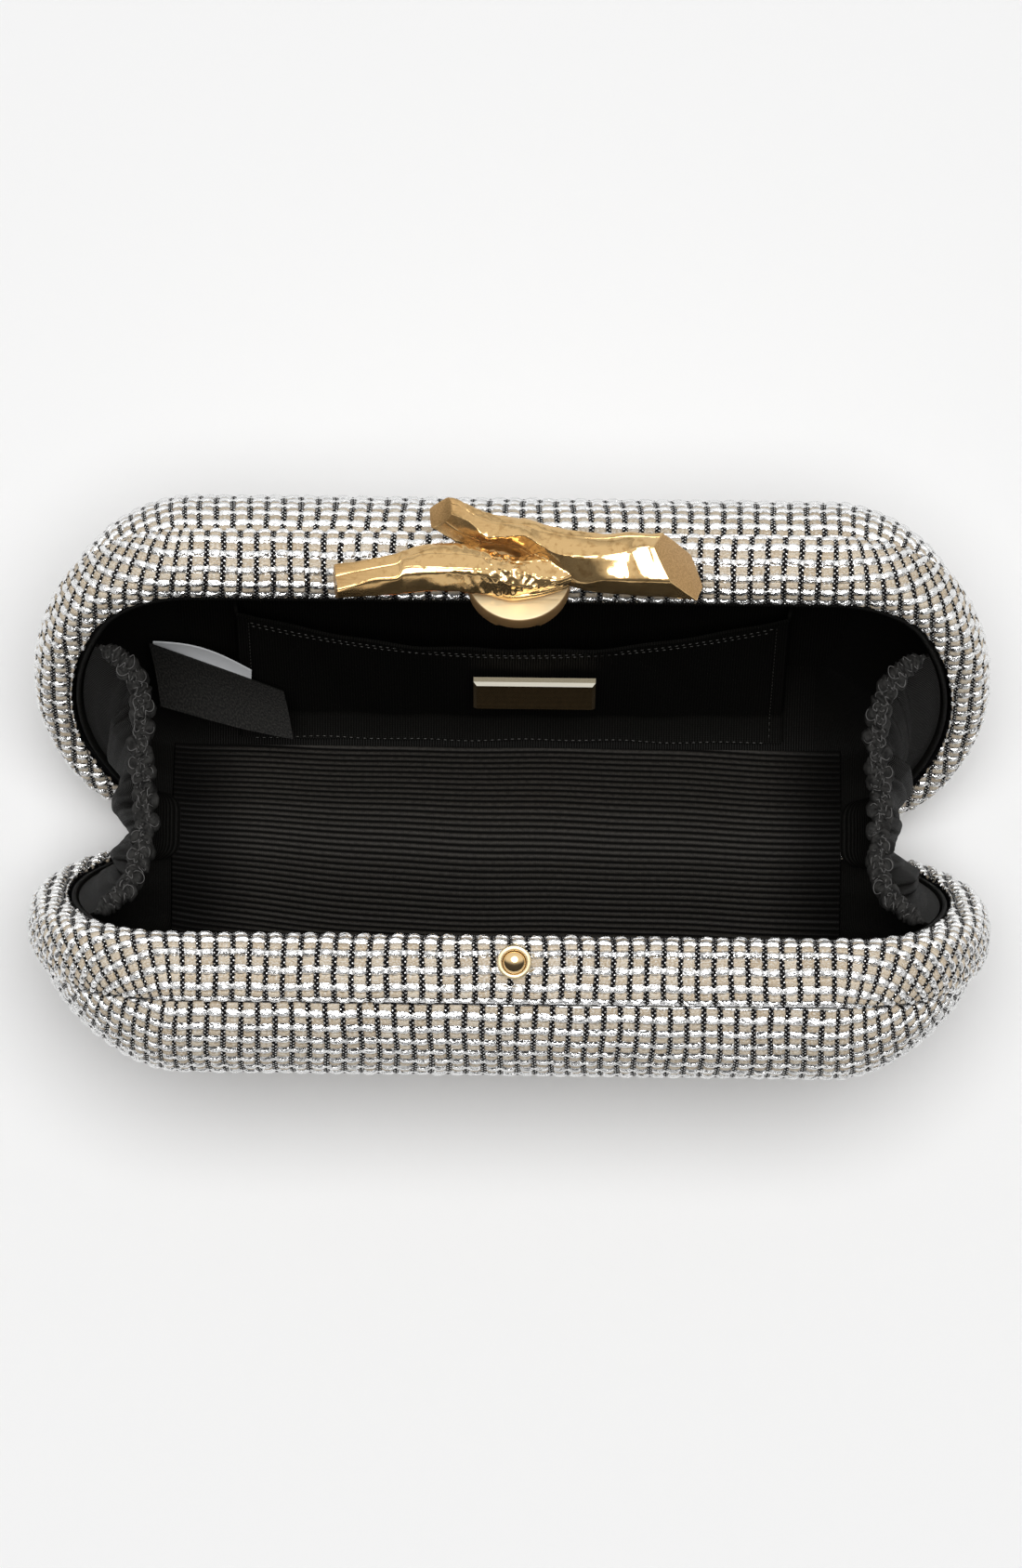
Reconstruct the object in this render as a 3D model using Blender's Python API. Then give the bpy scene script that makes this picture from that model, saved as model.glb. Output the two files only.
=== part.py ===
# Hard-case clutch bag, open and standing on its hinge side. Metres, +Z up, +X along its length.
# The origin is the middle of the footprint on the table. Each half is drawn in its own frame:
# X along the case, Y outwards from the mating plane, Z up from the hinge axis.
import math

import bmesh
import bpy
from mathutils import Vector

for old in list(bpy.data.objects):
    bpy.data.objects.remove(old, do_unlink=True)

# Driving sizes of the case
case_width = 0.180
case_height = 0.0975
half_depth = 0.031
opening_angle = math.radians(38.4)
corner_radius = 0.027
side_bow = 0.0044
axis_to_rim = 0.001
fit_gap = 0.0003
mating_gap = 0.0005
cut_overrun = 0.002

# Padded rim collar
rim_lip_width = 0.008
rim_lip_round = 0.0005
rim_flange_thickness = 0.00215
rim_wadding = 0.0026
rim_depth = 0.0127
rim_edge_share = 0.34
rim_front_shares = ((0.085, 0.14), (0.27, 0.03), (0.50, 0.0), (0.735, 0.03))
rim_foot_share = 0.91
rim_tail_share = 0.275

# Rim frame, shell, padding, cover and lining
frame_width = 0.0024
shell_wall = 0.0014
shell_face = 0.0014
padding_wall = 0.001
padding_face = 0.0015
cover_wall = 0.001
cover_face = 0.0012
face_crown = 0.0008
crown_share = 0.62
face_corner_radius = 0.001
pillow_power = 1.5
pillow_shares = (0.0, 0.3, 0.55, 0.75, 0.9, 1.0)
lining_space = 0.0014
lining_wall = 0.0008
lining_lip_drop = 0.00035

# Hinge
leaf_end_space = 0.0136
leaf_thickness = 0.0006
leaf_height = 0.0084
knuckle_count = 9
knuckle_radius = 0.0016
knuckle_bore = 0.001
pin_radius = 0.0007
neck_relief = 0.00005
rivet_count = 4
rivet_end_space = 0.009
rivet_radius = 0.0005
rivet_hole = 0.00075
rivet_length = 0.0057

# Clasp and catch
clasp_offset = 0.001
catch_depth = 0.0041
flange_radius = 0.0031
flange_thickness = 0.0006
sleeve_radius = 0.0028
sleeve_bore = 0.0025
sleeve_length = 0.008
sleeve_floor = 0.0005
lip_radius = 0.00215
lip_thickness = 0.0004
ball_radius = 0.00225
ball_show_radius = 0.0018
spring_radius = 0.0017
spring_wire = 0.0002
spring_turns = 3.5
disc_radius = 0.0095
disc_thickness = 0.0034
disc_depth = -0.0015
disc_bevel = 0.0004
disc_lead_in = 0.0022
disc_lead_height = 0.0011
disc_clearance = 0.00035
foot_width = 0.013
foot_depth = 0.0062
dimple_radius = 0.0019
dimple_depth = 0.0005
screw_pitch = 0.008
screw_depth = 0.0044
screw_radius = 0.0009
screw_hole = 0.0012
screw_head_radius = 0.0019
screw_head = 0.0008
screw_bite = 0.0012

# Twig handle: its reach along X and Y from the clasp's middle, and its thickness
twig_reach = 0.0335
twig_spread = 0.0076
twig_radius = 0.0058
twig_height = 0.0048
twig_sides = 14

# Inside pieces
pocket_end_space = 0.0066
pocket_height = 0.0418
pocket_depth = 0.0055
pocket_bow = 0.0058
pocket_sag = 0.003
pocket_cloth = 0.0009
pocket_return = 0.0008
plate_offset = 0.0043
plate_width = 0.0232
plate_height = 0.0100
plate_thickness = 0.0016
plate_bevel = 0.0006
plate_drop = 0.0145
label_cloth = 0.0004
woven_label_width = 0.022
woven_label_height = 0.0095
woven_label_rise = 0.3
care_label_width = 0.010
care_label_height = 0.015
floor_end_space = 0.0006
floor_cloth = 0.0006
floor_front_space = 0.0051
floor_sag = 0.0012
gusset_cloth = 0.0008
gusset_top = 0.071
gusset_foot = 0.0125
gusset_seat = 0.002
gusset_draw = 0.009
gusset_tuck = 0.0095
gusset_foot_draw_share = 0.25
gusset_dip = 0.006
elastic_height = 0.004
elastic_thickness = 0.0018
elastic_reach_share = 0.97

# Faceting
corner_steps = 5
side_steps = 4
round_sides = 16
small_sides = 10

# Sizes that follow from the ones above
half_angle = opening_angle / 2
mating_depth = mating_gap / 2
rim_back = mating_depth + rim_flange_thickness
frame_front = rim_back + fit_gap
frame_inset = rim_wadding + fit_gap
frame_back = rim_depth - fit_gap
shell_inset = frame_inset + frame_width + fit_gap
cover_start = rim_depth + fit_gap
cover_inset = frame_inset + neck_relief * 2
padding_inset = cover_inset + cover_wall + fit_gap
lining_inset = shell_inset + shell_wall + lining_space
inner_inset = lining_inset + lining_wall
pillow_reach = corner_radius - shell_inset - shell_wall - face_corner_radius
lining_reach = corner_radius - inner_inset - face_corner_radius
padding_depth = half_depth - face_crown - cover_face - fit_gap
shell_depth = padding_depth - padding_face - fit_gap
lining_depth = shell_depth - shell_face - fit_gap * 2
inner_depth = lining_depth - lining_wall
core_x = case_width / 2 - side_bow - corner_radius
leaf_length = (core_x - leaf_end_space) * 2
rivet_pitch = (leaf_length - rivet_end_space * 2) / (rivet_count - 1)
pocket_width = (core_x - pocket_end_space) * 2
floor_width = (core_x - floor_end_space) * 2
core_z = case_height / 2 - corner_radius
centre_z = axis_to_rim + case_height / 2
rim_top = axis_to_rim + case_height
side_radius = core_z * core_z / (2 * side_bow) + side_bow / 2
side_angle = math.asin(core_z / side_radius)
leaf_front = mating_depth
leaf_back = leaf_front + leaf_thickness
leaf_seat = leaf_back + fit_gap
leaf_seat_half = leaf_length / 2 + cut_overrun / 2
rivet_height = axis_to_rim + frame_inset + frame_width / 2


def material(name, colour, metallic, roughness):
    made = bpy.data.materials.new(name)
    made.use_nodes = True
    shader = made.node_tree.nodes["Principled BSDF"]
    shader.inputs["Base Color"].default_value = (*colour, 1.0)
    shader.inputs["Metallic"].default_value = metallic
    shader.inputs["Roughness"].default_value = roughness
    return made


woven_cloth = material("woven_cloth", (0.62, 0.58, 0.52), 0.2, 0.45)
black_cloth = material("black_cloth", (0.012, 0.011, 0.011), 0.0, 0.8)
elastic_cloth = material("elastic_cloth", (0.02, 0.02, 0.02), 0.0, 0.75)
satin = material("satin", (0.75, 0.75, 0.76), 0.0, 0.4)
foam = material("foam", (0.75, 0.73, 0.66), 0.0, 0.9)
board = material("board", (0.08, 0.08, 0.08), 0.0, 0.5)
steel = material("steel", (0.55, 0.55, 0.56), 1.0, 0.35)
gold = material("gold", (0.72, 0.47, 0.18), 1.0, 0.25)


def empty(name, rotation):
    made = bpy.data.objects.new(name, None)
    made.location = (0, 0, hinge_height)
    made.rotation_euler = rotation
    bpy.context.scene.collection.objects.link(made)
    return made


def piece(name, shape, look, frame=None):
    mesh = bpy.data.meshes.new(name)
    bmesh.ops.recalc_face_normals(shape, faces=shape.faces)
    if shape.calc_volume(signed=True) < 0:
        bmesh.ops.reverse_faces(shape, faces=shape.faces)
    shape.to_mesh(mesh)
    shape.free()
    made = bpy.data.objects.new(name, mesh)
    bpy.context.scene.collection.objects.link(made)
    made.parent = frame
    if look is None:
        made.hide_render = True
        made.display_type = "WIRE"
    else:
        mesh.materials.append(look)
        mesh.shade_smooth()
        mesh.set_sharp_from_angle(angle=math.radians(35))
    return made


def combine(target, tool, operation):
    step = target.modifiers.new(operation.lower(), "BOOLEAN")
    step.operation = operation
    step.object = tool


def loft(shape, rings, closed):
    rows = [[shape.verts.new(point) for point in ring] for ring in rings]
    count = len(rows[0])
    last = len(rows) if closed else len(rows) - 1
    for i in range(last):
        lower = rows[i]
        upper = rows[(i + 1) % len(rows)]
        for j in range(count):
            k = (j + 1) % count
            shape.faces.new((lower[j], lower[k], upper[k], upper[j]))
    if not closed:
        shape.faces.new(rows[0])
        shape.faces.new(rows[-1])
    return rows


def outline(inset):
    # The case's outline moved inwards by inset, as X and height, from the bottom left round.
    offset = corner_radius - inset
    stops = (-leaf_seat_half - cut_overrun, -leaf_seat_half, leaf_seat_half, leaf_seat_half + cut_overrun)
    points = [(x, -core_z - offset) for x in stops]
    turn = math.pi / 2 - side_angle
    quarter = []
    for i in range(corner_steps + 1):
        angle = -math.pi / 2 + turn * i / corner_steps
        quarter.append((core_x + offset * math.cos(angle), -core_z + offset * math.sin(angle)))
    bowed = []
    for i in range(1, side_steps):
        angle = side_angle * (2 * i / side_steps - 1)
        reach = side_radius + offset
        bowed.append((core_x + side_bow - side_radius + reach * math.cos(angle), reach * math.sin(angle)))
    right = quarter + bowed + [(x, -z) for x, z in reversed(quarter)]
    points += right
    points += [(x, core_z + offset) for x in reversed(stops)]
    points += [(-x, z) for x, z in reversed(right)]
    return [(x, centre_z + z) for x, z in points]


def half_width_at(inset, height):
    offset = corner_radius - inset
    rise = abs(height - centre_z)
    if rise < core_z + offset * math.sin(side_angle):
        return core_x + side_bow - side_radius + math.sqrt((side_radius + offset) ** 2 - rise ** 2)
    return core_x + math.sqrt(max(offset ** 2 - (rise - core_z) ** 2, 0))


def ring(inset, depth, share=1.0):
    return [(x * share, depth, centre_z + (z - centre_z) * share) for x, z in outline(inset)]


def seated_ring(inset, depth):
    # A collar ring that steps back along the hinge to seat the leaf.
    points = []
    for x, z in outline(inset):
        in_seat = abs(x) <= leaf_seat_half and z < centre_z
        points.append((x, max(depth, leaf_seat) if in_seat else depth, z))
    return points


def pillow(inset, depth, reach):
    # The pillowed wall from the collar to the face, as rings.
    rings = []
    for share in pillow_shares:
        curve = 1 - (1 - share ** pillow_power) ** (1 / pillow_power)
        rings.append(ring(inset + reach * curve, cover_start + (depth - cover_start) * share))
    return rings


def box(shape, low, high):
    corners = [(low[0], low[1]), (high[0], low[1]), (high[0], high[1]), (low[0], high[1])]
    loft(shape, [[(x, y, z) for x, y in corners] for z in (low[2], high[2])], False)


def rod(shape, start, end, start_radius, end_radius, sides):
    axis = (Vector(end) - Vector(start)).normalized()
    across = axis.orthogonal().normalized()
    up = axis.cross(across)
    rings = []
    for place, radius in ((start, start_radius), (end, end_radius)):
        angles = [2 * math.pi * (i + 0.5) / sides for i in range(sides)]
        rings.append([Vector(place) + radius * (across * math.cos(a) + up * math.sin(a)) for a in angles])
    loft(shape, rings, False)


def turned(shape, profile, x, y, sides):
    # A shape turned about an upright line at x, y. The profile starts and ends on that line.
    first = shape.verts.new((x, y, profile[0][1]))
    last = shape.verts.new((x, y, profile[-1][1]))
    rows = []
    for radius, height in profile[1:-1]:
        angles = [2 * math.pi * i / sides for i in range(sides)]
        rows.append([shape.verts.new((x + radius * math.cos(a), y + radius * math.sin(a), height)) for a in angles])
    for j in range(sides):
        k = (j + 1) % sides
        shape.faces.new((first, rows[0][k], rows[0][j]))
        shape.faces.new((last, rows[-1][j], rows[-1][k]))
        for lower, upper in zip(rows, rows[1:]):
            shape.faces.new((lower[j], lower[k], upper[k], upper[j]))


def sheet(shape, grid, thickness):
    # A closed sheet of even thickness about a grid of points.
    rows = len(grid)
    columns = len(grid[0])
    sides = []
    for sign in (-0.5, 0.5):
        side = []
        for i in range(rows):
            line = []
            for j in range(columns):
                along = Vector(grid[i][min(j + 1, columns - 1)]) - Vector(grid[i][max(j - 1, 0)])
                up = Vector(grid[min(i + 1, rows - 1)][j]) - Vector(grid[max(i - 1, 0)][j])
                normal = along.cross(up).normalized()
                line.append(shape.verts.new(Vector(grid[i][j]) + normal * thickness * sign))
            side.append(line)
        sides.append(side)
    back, front = sides
    for i in range(rows - 1):
        for j in range(columns - 1):
            shape.faces.new((front[i][j], front[i][j + 1], front[i + 1][j + 1], front[i + 1][j]))
            shape.faces.new((back[i][j], back[i + 1][j], back[i + 1][j + 1], back[i][j + 1]))
    for i in range(rows - 1):
        for j in (0, columns - 1):
            shape.faces.new((back[i][j], front[i][j], front[i + 1][j], back[i + 1][j]))
    for j in range(columns - 1):
        for i in (0, rows - 1):
            shape.faces.new((back[i][j], front[i][j], front[i][j + 1], back[i][j + 1]))


# The collar's outer wall ends in a flat foot that lies level on the table at the opening angle.
collar_run = rim_depth - mating_depth
collar_wall = [(rim_lip_width * rim_edge_share, mating_depth)]
for depth_share, inset_share in rim_front_shares:
    collar_wall.append((rim_lip_width * inset_share, mating_depth + collar_run * depth_share))
foot_start_inset, foot_start_depth = collar_wall[-1]
foot_end_depth = mating_depth + collar_run * rim_foot_share
foot_end_inset = foot_start_inset + (foot_end_depth - foot_start_depth) * math.tan(half_angle)
collar_wall.append((foot_end_inset, foot_end_depth))
collar_wall.append((rim_lip_width * rim_tail_share, rim_depth))
hinge_height = foot_start_depth * math.sin(half_angle) - (axis_to_rim + foot_start_inset) * math.cos(half_angle)

back_frame = empty("back_half_axis", (-half_angle, 0, 0))
front_frame = empty("front_half_axis", (-half_angle, 0, math.pi))


def back_point(x, depth, height):
    y = height * math.sin(half_angle) + depth * math.cos(half_angle)
    return Vector((x, y, hinge_height + height * math.cos(half_angle) - depth * math.sin(half_angle)))


def front_point(x, depth, height):
    place = back_point(x, depth, height)
    return Vector((x, -place.y, place.z))


def rim_cover(name, frame):
    shape = bmesh.new()
    lip_edge = mating_depth + lining_lip_drop
    section = [(rim_lip_width, rim_back), (rim_lip_width, lip_edge), (rim_lip_width - rim_lip_round, mating_depth)]
    section += collar_wall
    section += [(rim_wadding, rim_depth), (rim_wadding, rim_back)]
    loft(shape, [seated_ring(inset, depth) for inset, depth in section], True)
    return piece(name, shape, woven_cloth, frame)


def rim_frame(name, frame):
    shape = bmesh.new()
    inner = frame_inset + frame_width
    section = [(frame_inset, frame_front), (frame_inset, frame_back), (inner, frame_back), (inner, frame_front)]
    loft(shape, [ring(inset, depth) for inset, depth in section], True)
    return piece(name, shape, steel, frame)


def tray(name, outer, inner, look, frame):
    # A tray from its outer face round the lip to its inner face.
    shape = bmesh.new()
    loft(shape, list(reversed(outer)) + inner, False)
    return piece(name, shape, look, frame)


def body_cover(name, frame):
    outer = pillow(cover_inset, half_depth - face_crown, pillow_reach)
    outer.append(ring(cover_inset + pillow_reach, half_depth, crown_share))
    inner = pillow(cover_inset + cover_wall, half_depth - face_crown - cover_face, pillow_reach)
    return tray(name, outer, inner, woven_cloth, frame)


def padding(name, frame):
    outer = pillow(padding_inset, padding_depth, pillow_reach)
    inner = pillow(padding_inset + padding_wall, padding_depth - padding_face, pillow_reach)
    return tray(name, outer, inner, foam, frame)


def shell(name, frame):
    inset = shell_inset + shell_wall
    outer = [ring(shell_inset, frame_front)] + pillow(shell_inset, shell_depth, pillow_reach)
    inner = [ring(inset, frame_front)] + pillow(inset, shell_depth - shell_face, pillow_reach)
    return tray(name, outer, inner, board, frame)


def lining(name, frame):
    lip = mating_depth + lining_lip_drop
    outer = [ring(lining_inset, lip)] + pillow(lining_inset, lining_depth, lining_reach)
    inner = [ring(inner_inset, lip)] + pillow(inner_inset, inner_depth, lining_reach)
    return tray(name, outer, inner, black_cloth, frame)


def half_case(side, frame):
    made = {
        "cover": body_cover(side + "_cover", frame),
        "padding": padding(side + "_padding", frame),
        "shell": shell(side + "_shell", frame),
        "rim_frame": rim_frame(side + "_rim_frame", frame),
        "rim_cover": rim_cover(side + "_rim_cover", frame),
        "lining": lining(side + "_lining", frame),
    }
    return made


back = half_case("back", back_frame)
front = half_case("front", front_frame)

# Piano hinge along the bottom
knuckle_pitch = leaf_length / knuckle_count
leaf_foot = knuckle_radius + fit_gap + neck_relief
rivet_places = [(i - (rivet_count - 1) / 2) * rivet_pitch for i in range(rivet_count)]


def knuckle(shape, start, end):
    # A rolled knuckle with the neck that joins it to the leaf, as one outline run along X.
    near = leaf_front + neck_relief
    far = leaf_back - neck_relief
    first = math.asin(near / knuckle_radius)
    last = math.asin(far / knuckle_radius)
    sweep = 2 * math.pi - (last - first)
    points = []
    for i in range(round_sides + 1):
        angle = last + sweep * i / round_sides
        points.append((knuckle_radius * math.sin(angle), knuckle_radius * math.cos(angle)))
    neck_top = leaf_foot + leaf_thickness
    points += [(near, neck_top), (far, neck_top)]
    loft(shape, [[(x, y, z) for y, z in points] for x in (start, end)], False)


def hinge_leaf(name, frame, turn):
    shape = bmesh.new()
    box(shape, (-leaf_length / 2, leaf_front, leaf_foot), (leaf_length / 2, leaf_back, leaf_height))
    leaf = piece(name, shape, steel, frame)
    knuckles = bmesh.new()
    for i in range(turn, knuckle_count, 2):
        start = -leaf_length / 2 + knuckle_pitch * i
        knuckle(knuckles, start + fit_gap / 2, start + knuckle_pitch - fit_gap / 2)
    combine(leaf, piece(name + "_knuckles", knuckles, None, frame), "UNION")
    bore = bmesh.new()
    reach = leaf_length / 2 + cut_overrun
    rod(bore, (-reach, 0, 0), (reach, 0, 0), knuckle_bore, knuckle_bore, small_sides)
    combine(leaf, piece(name + "_bore", bore, None, frame), "DIFFERENCE")
    return leaf


def rivet(shape, x, radius, start, end):
    rod(shape, (x, start, rivet_height), (x, end, rivet_height), radius, radius, small_sides)


rivet_tip = leaf_front + rivet_length
for side, half, frame, turn in (("back", back, back_frame, 0), ("front", front, front_frame, 1)):
    leaf = hinge_leaf("hinge_leaf_" + side, frame, turn)
    holes = bmesh.new()
    for i, x in enumerate(rivet_places):
        rivet(holes, x, rivet_hole, -cut_overrun, rivet_tip + fit_gap)
        body = bmesh.new()
        rivet(body, x, rivet_radius, leaf_front + neck_relief, rivet_tip)
        piece("hinge_rivet_" + side + "_" + str(i + 1), body, steel, frame)
    cutter = piece("rivet_holes_" + side, holes, None, frame)
    for cut_piece in (leaf, half["rim_cover"], half["rim_frame"]):
        combine(cut_piece, cutter, "DIFFERENCE")

pin = bmesh.new()
rod(pin, (-leaf_length / 2, 0, 0), (leaf_length / 2, 0, 0), pin_radius, pin_radius, small_sides)
piece("hinge_pin", pin, steel, back_frame)

# Spring catch on the front rim. Its frame is turned half round, so its X is reversed.
catch_x = -clasp_offset
flange_bottom = rim_top + fit_gap
flange_top = flange_bottom + flange_thickness
sleeve_bottom = flange_top - sleeve_length - flange_thickness
sleeve = bmesh.new()
turned(sleeve, [
    (0, sleeve_bottom),
    (sleeve_radius, sleeve_bottom),
    (sleeve_radius, flange_bottom),
    (flange_radius, flange_bottom),
    (flange_radius, flange_top),
    (lip_radius, flange_top),
    (lip_radius, flange_top - lip_thickness),
    (sleeve_bore, flange_top - lip_thickness),
    (sleeve_bore, sleeve_bottom + sleeve_floor),
    (0, sleeve_bottom + sleeve_floor),
], catch_x, catch_depth, round_sides)
piece("catch_sleeve", sleeve, gold, front_frame)

socket = bmesh.new()
socket_radius = sleeve_radius + fit_gap
socket_low = (catch_x, catch_depth, sleeve_bottom - cut_overrun)
socket_high = (catch_x, catch_depth, rim_top + cut_overrun)
rod(socket, socket_low, socket_high, socket_radius, socket_radius, round_sides)
socket_cutter = piece("catch_socket", socket, None, front_frame)
for name in ("rim_cover", "rim_frame", "shell"):
    combine(front[name], socket_cutter, "DIFFERENCE")

ball_height = flange_top - math.sqrt(ball_radius ** 2 - ball_show_radius ** 2)
ball_steps = round_sides // 2
ball = bmesh.new()
ball_angles = [math.pi * i / ball_steps for i in range(ball_steps + 1)]
ball_profile = [(ball_radius * math.sin(a), ball_height - ball_radius * math.cos(a)) for a in ball_angles]
turned(ball, ball_profile, catch_x, catch_depth, round_sides)
piece("catch_ball", ball, gold, front_frame)

spring_low = sleeve_bottom + sleeve_floor + fit_gap + spring_wire
spring_high = ball_height - ball_radius - fit_gap - spring_wire
spring_curve = bpy.data.curves.new("catch_spring", "CURVE")
spring_curve.dimensions = "3D"
spring_curve.bevel_depth = spring_wire
spring_curve.bevel_resolution = 1
spring_curve.use_fill_caps = True
coil = spring_curve.splines.new("POLY")
coil_steps = int(spring_turns * small_sides)
coil.points.add(coil_steps)
for i in range(coil_steps + 1):
    angle = 2 * math.pi * i / small_sides
    height = spring_low + (spring_high - spring_low) * i / coil_steps
    x = catch_x + spring_radius * math.cos(angle)
    coil.points[i].co = (x, catch_depth + spring_radius * math.sin(angle), height, 1)
spring_curve.materials.append(steel)
spring = bpy.data.objects.new("catch_spring", spring_curve)
spring.parent = front_frame
bpy.context.scene.collection.objects.link(spring)

# Clasp disc on its foot, over the gap between the halves, with a lead-in under its front edge
disc_bottom = ball_height + ball_radius + disc_clearance
disc_top = disc_bottom + disc_thickness
disc_front = disc_depth - disc_radius
disc_rings = []
for radius, height, limit in (
    (disc_radius - disc_bevel, disc_bottom, disc_front + disc_lead_in),
    (disc_radius, disc_bottom + disc_lead_height, disc_front),
    (disc_radius, disc_top - disc_bevel, disc_front),
    (disc_radius - disc_bevel, disc_top, disc_front),
):
    edge = []
    for i in range(round_sides * 2):
        angle = math.pi * (i + 0.5) / round_sides
        y = disc_depth + radius * math.sin(angle)
        edge.append((clasp_offset + radius * math.cos(angle), max(y, limit), height))
    disc_rings.append(edge)
disc_shape = bmesh.new()
loft(disc_shape, disc_rings, False)
disc = piece("clasp_disc", disc_shape, gold, back_frame)

foot_bottom = rim_top + fit_gap
foot_front = screw_depth - foot_depth / 2
foot = bmesh.new()
box(foot, (clasp_offset - foot_width / 2, foot_front, foot_bottom),
    (clasp_offset + foot_width / 2, foot_front + foot_depth, disc_bottom + disc_bevel))
combine(disc, piece("clasp_foot", foot, None, back_frame), "UNION")
dimple = bmesh.new()
dimple_low = (clasp_offset, -catch_depth, disc_bottom - dimple_depth)
dimple_high = (clasp_offset, -catch_depth, disc_bottom + dimple_depth)
rod(dimple, dimple_low, dimple_high, dimple_radius, dimple_radius / 2, small_sides)
combine(disc, piece("disc_dimple", dimple, None, back_frame), "DIFFERENCE")

# Two screws from inside the shell, up through the rim into the disc's foot
screw_tip = disc_bottom + screw_bite
seat_height = rim_top - shell_inset - shell_wall - fit_gap
screw_holes = bmesh.new()
for side, sign in (("left", -0.5), ("right", 0.5)):
    x = clasp_offset + screw_pitch * sign
    head = seat_height - screw_head
    screw = bmesh.new()
    turned(screw, [
        (0, head),
        (screw_head_radius, head),
        (screw_head_radius, seat_height),
        (screw_radius, seat_height),
        (screw_radius, screw_tip),
        (0, screw_tip),
    ], x, screw_depth, small_sides)
    piece("clasp_screw_" + side, screw, steel, back_frame)
    hole_low = (x, screw_depth, head)
    rod(screw_holes, hole_low, (x, screw_depth, screw_tip + fit_gap), screw_hole, screw_hole, small_sides)
screw_cutter = piece("clasp_screw_holes", screw_holes, None, back_frame)
for target in (back["shell"], back["rim_frame"], back["rim_cover"], disc):
    combine(target, screw_cutter, "DIFFERENCE")

# Twig handle: two branches, each a run of rings, with a flat seat on the disc.
# Each row gives the shares of the reach, the spread, the lift and the radius.
twig_seat = disc_top + fit_gap
stem_shares = (
    (-0.43, 1.06, 0.10, 0.40),
    (-0.30, 0.86, 0.05, 0.50),
    (-0.12, 0.55, 0.02, 0.60),
    (0.08, 0.30, 0.06, 0.66),
    (0.30, 0.04, 0.04, 0.78),
    (0.55, -0.18, 0.04, 0.88),
    (0.80, -0.32, 0.06, 0.95),
    (0.97, -0.40, 0.08, 1.0),
)
shoot_shares = (
    (-0.97, -0.84, -0.10, 0.56),
    (-0.72, -0.66, -0.08, 0.58),
    (-0.60, -0.56, -0.02, 0.68),
    (-0.36, -0.50, -0.02, 0.70),
    (-0.10, -0.48, 0.0, 0.72),
    (0.14, -0.40, 0.0, 0.72),
    (0.40, -0.30, 0.0, 0.72),
)


def branch(name, shares, look):
    middles = []
    for reach_share, spread_share, lift_share, radius_share in shares:
        x = clasp_offset + twig_reach * reach_share
        height = twig_seat + twig_height + twig_height * lift_share
        middles.append((Vector((x, twig_spread * spread_share, height)), twig_radius * radius_share))
    rings = []
    for i, (middle, radius) in enumerate(middles):
        along = middles[min(i + 1, len(middles) - 1)][0] - middles[max(i - 1, 0)][0]
        along.normalize()
        across = along.cross(Vector((0, 0, 1))).normalized()
        up = across.cross(along)
        edge = []
        for j in range(twig_sides):
            angle = 2 * math.pi * (j + 0.5) / twig_sides
            point = middle + radius * (across * math.cos(angle) + up * math.sin(angle))
            point.z = max(point.z, twig_seat)
            edge.append(point)
        rings.append(edge)
    shape = bmesh.new()
    loft(shape, rings, False)
    return piece(name, shape, look, back_frame)


twig = branch("twig_handle", stem_shares, gold)
combine(twig, branch("twig_shoot", shoot_shares, None), "UNION")

# Slip pocket: a bowed panel whose sides turn back to the lining's curved wall
pocket_foot = axis_to_rim + inner_inset + fit_gap * 4 + floor_cloth * 2
pocket_columns = (-1, -0.96, -0.66, -0.33, 0, 0.33, 0.66, 0.96, 1)
pocket_rows = (0.0, 0.33, 0.66, 1.0)


def wall_depth(height):
    # How deep the lining's inside runs at a height above the hinge, in its lower half.
    rest = max(1 - (height - axis_to_rim - inner_inset) / lining_reach, 0)
    return cover_start + (inner_depth - cover_start) * (1 - rest ** pillow_power) ** (1 / pillow_power)


def pocket_end_depth(rise):
    return wall_depth(pocket_foot + pocket_height * rise) - fit_gap * 2 - pocket_cloth / 2


def pocket_front_depth(share, rise):
    side_depth = min(inner_depth - pocket_depth, pocket_end_depth(rise) - pocket_return)
    return side_depth - pocket_bow * rise * (1 - share ** 2)


pocket_grid = []
for rise in pocket_rows:
    line = []
    height = pocket_foot + pocket_height * rise
    for share in pocket_columns:
        x = pocket_width / 2 * share
        sagged = height - pocket_sag * rise * (1 - share ** 2)
        line.append((x, pocket_front_depth(share, rise), sagged))
    pocket_end = pocket_end_depth(rise)
    tuck = pocket_width / 2 + pocket_return
    line = [(-tuck, pocket_end, height)] + line + [(tuck, pocket_end, height)]
    pocket_grid.append(line)
pocket = bmesh.new()
sheet(pocket, pocket_grid, pocket_cloth)
piece("slip_pocket", pocket, black_cloth, back_frame)

# Bare name plate on the pocket
plate_rise = (pocket_height - plate_drop) / pocket_height
plate_back = pocket_front_depth(0, plate_rise) - pocket_cloth - fit_gap
plate_top = pocket_foot + pocket_height - plate_drop
plate_middle = plate_top - plate_height / 2
plate = bmesh.new()
plate_rings = []
for bevel, y in (
    (0, plate_back),
    (0, plate_back - plate_thickness + plate_bevel),
    (plate_bevel, plate_back - plate_thickness),
):
    w = plate_width / 2 - bevel
    h = plate_height / 2 - bevel
    corners = ((-w, -h), (w, -h), (w, h), (-w, h))
    plate_rings.append([(x + plate_offset, y, plate_middle + z) for x, z in corners])
loft(plate, plate_rings, False)
piece("name_plate", plate, gold, back_frame)

# Two blank labels sewn in at the pocket's left seam
label_stand = pocket_cloth / 2 + fit_gap + label_cloth / 2
pocket_edge = pocket_width / 2 + pocket_return + pocket_cloth / 2


def label(name, left, width, low, height, depth, look):
    shape = bmesh.new()
    sheet(shape, [[(x, depth, z) for x in (left, left + width)] for z in (low, low + height)], label_cloth)
    piece(name, shape, look, back_frame)


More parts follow.
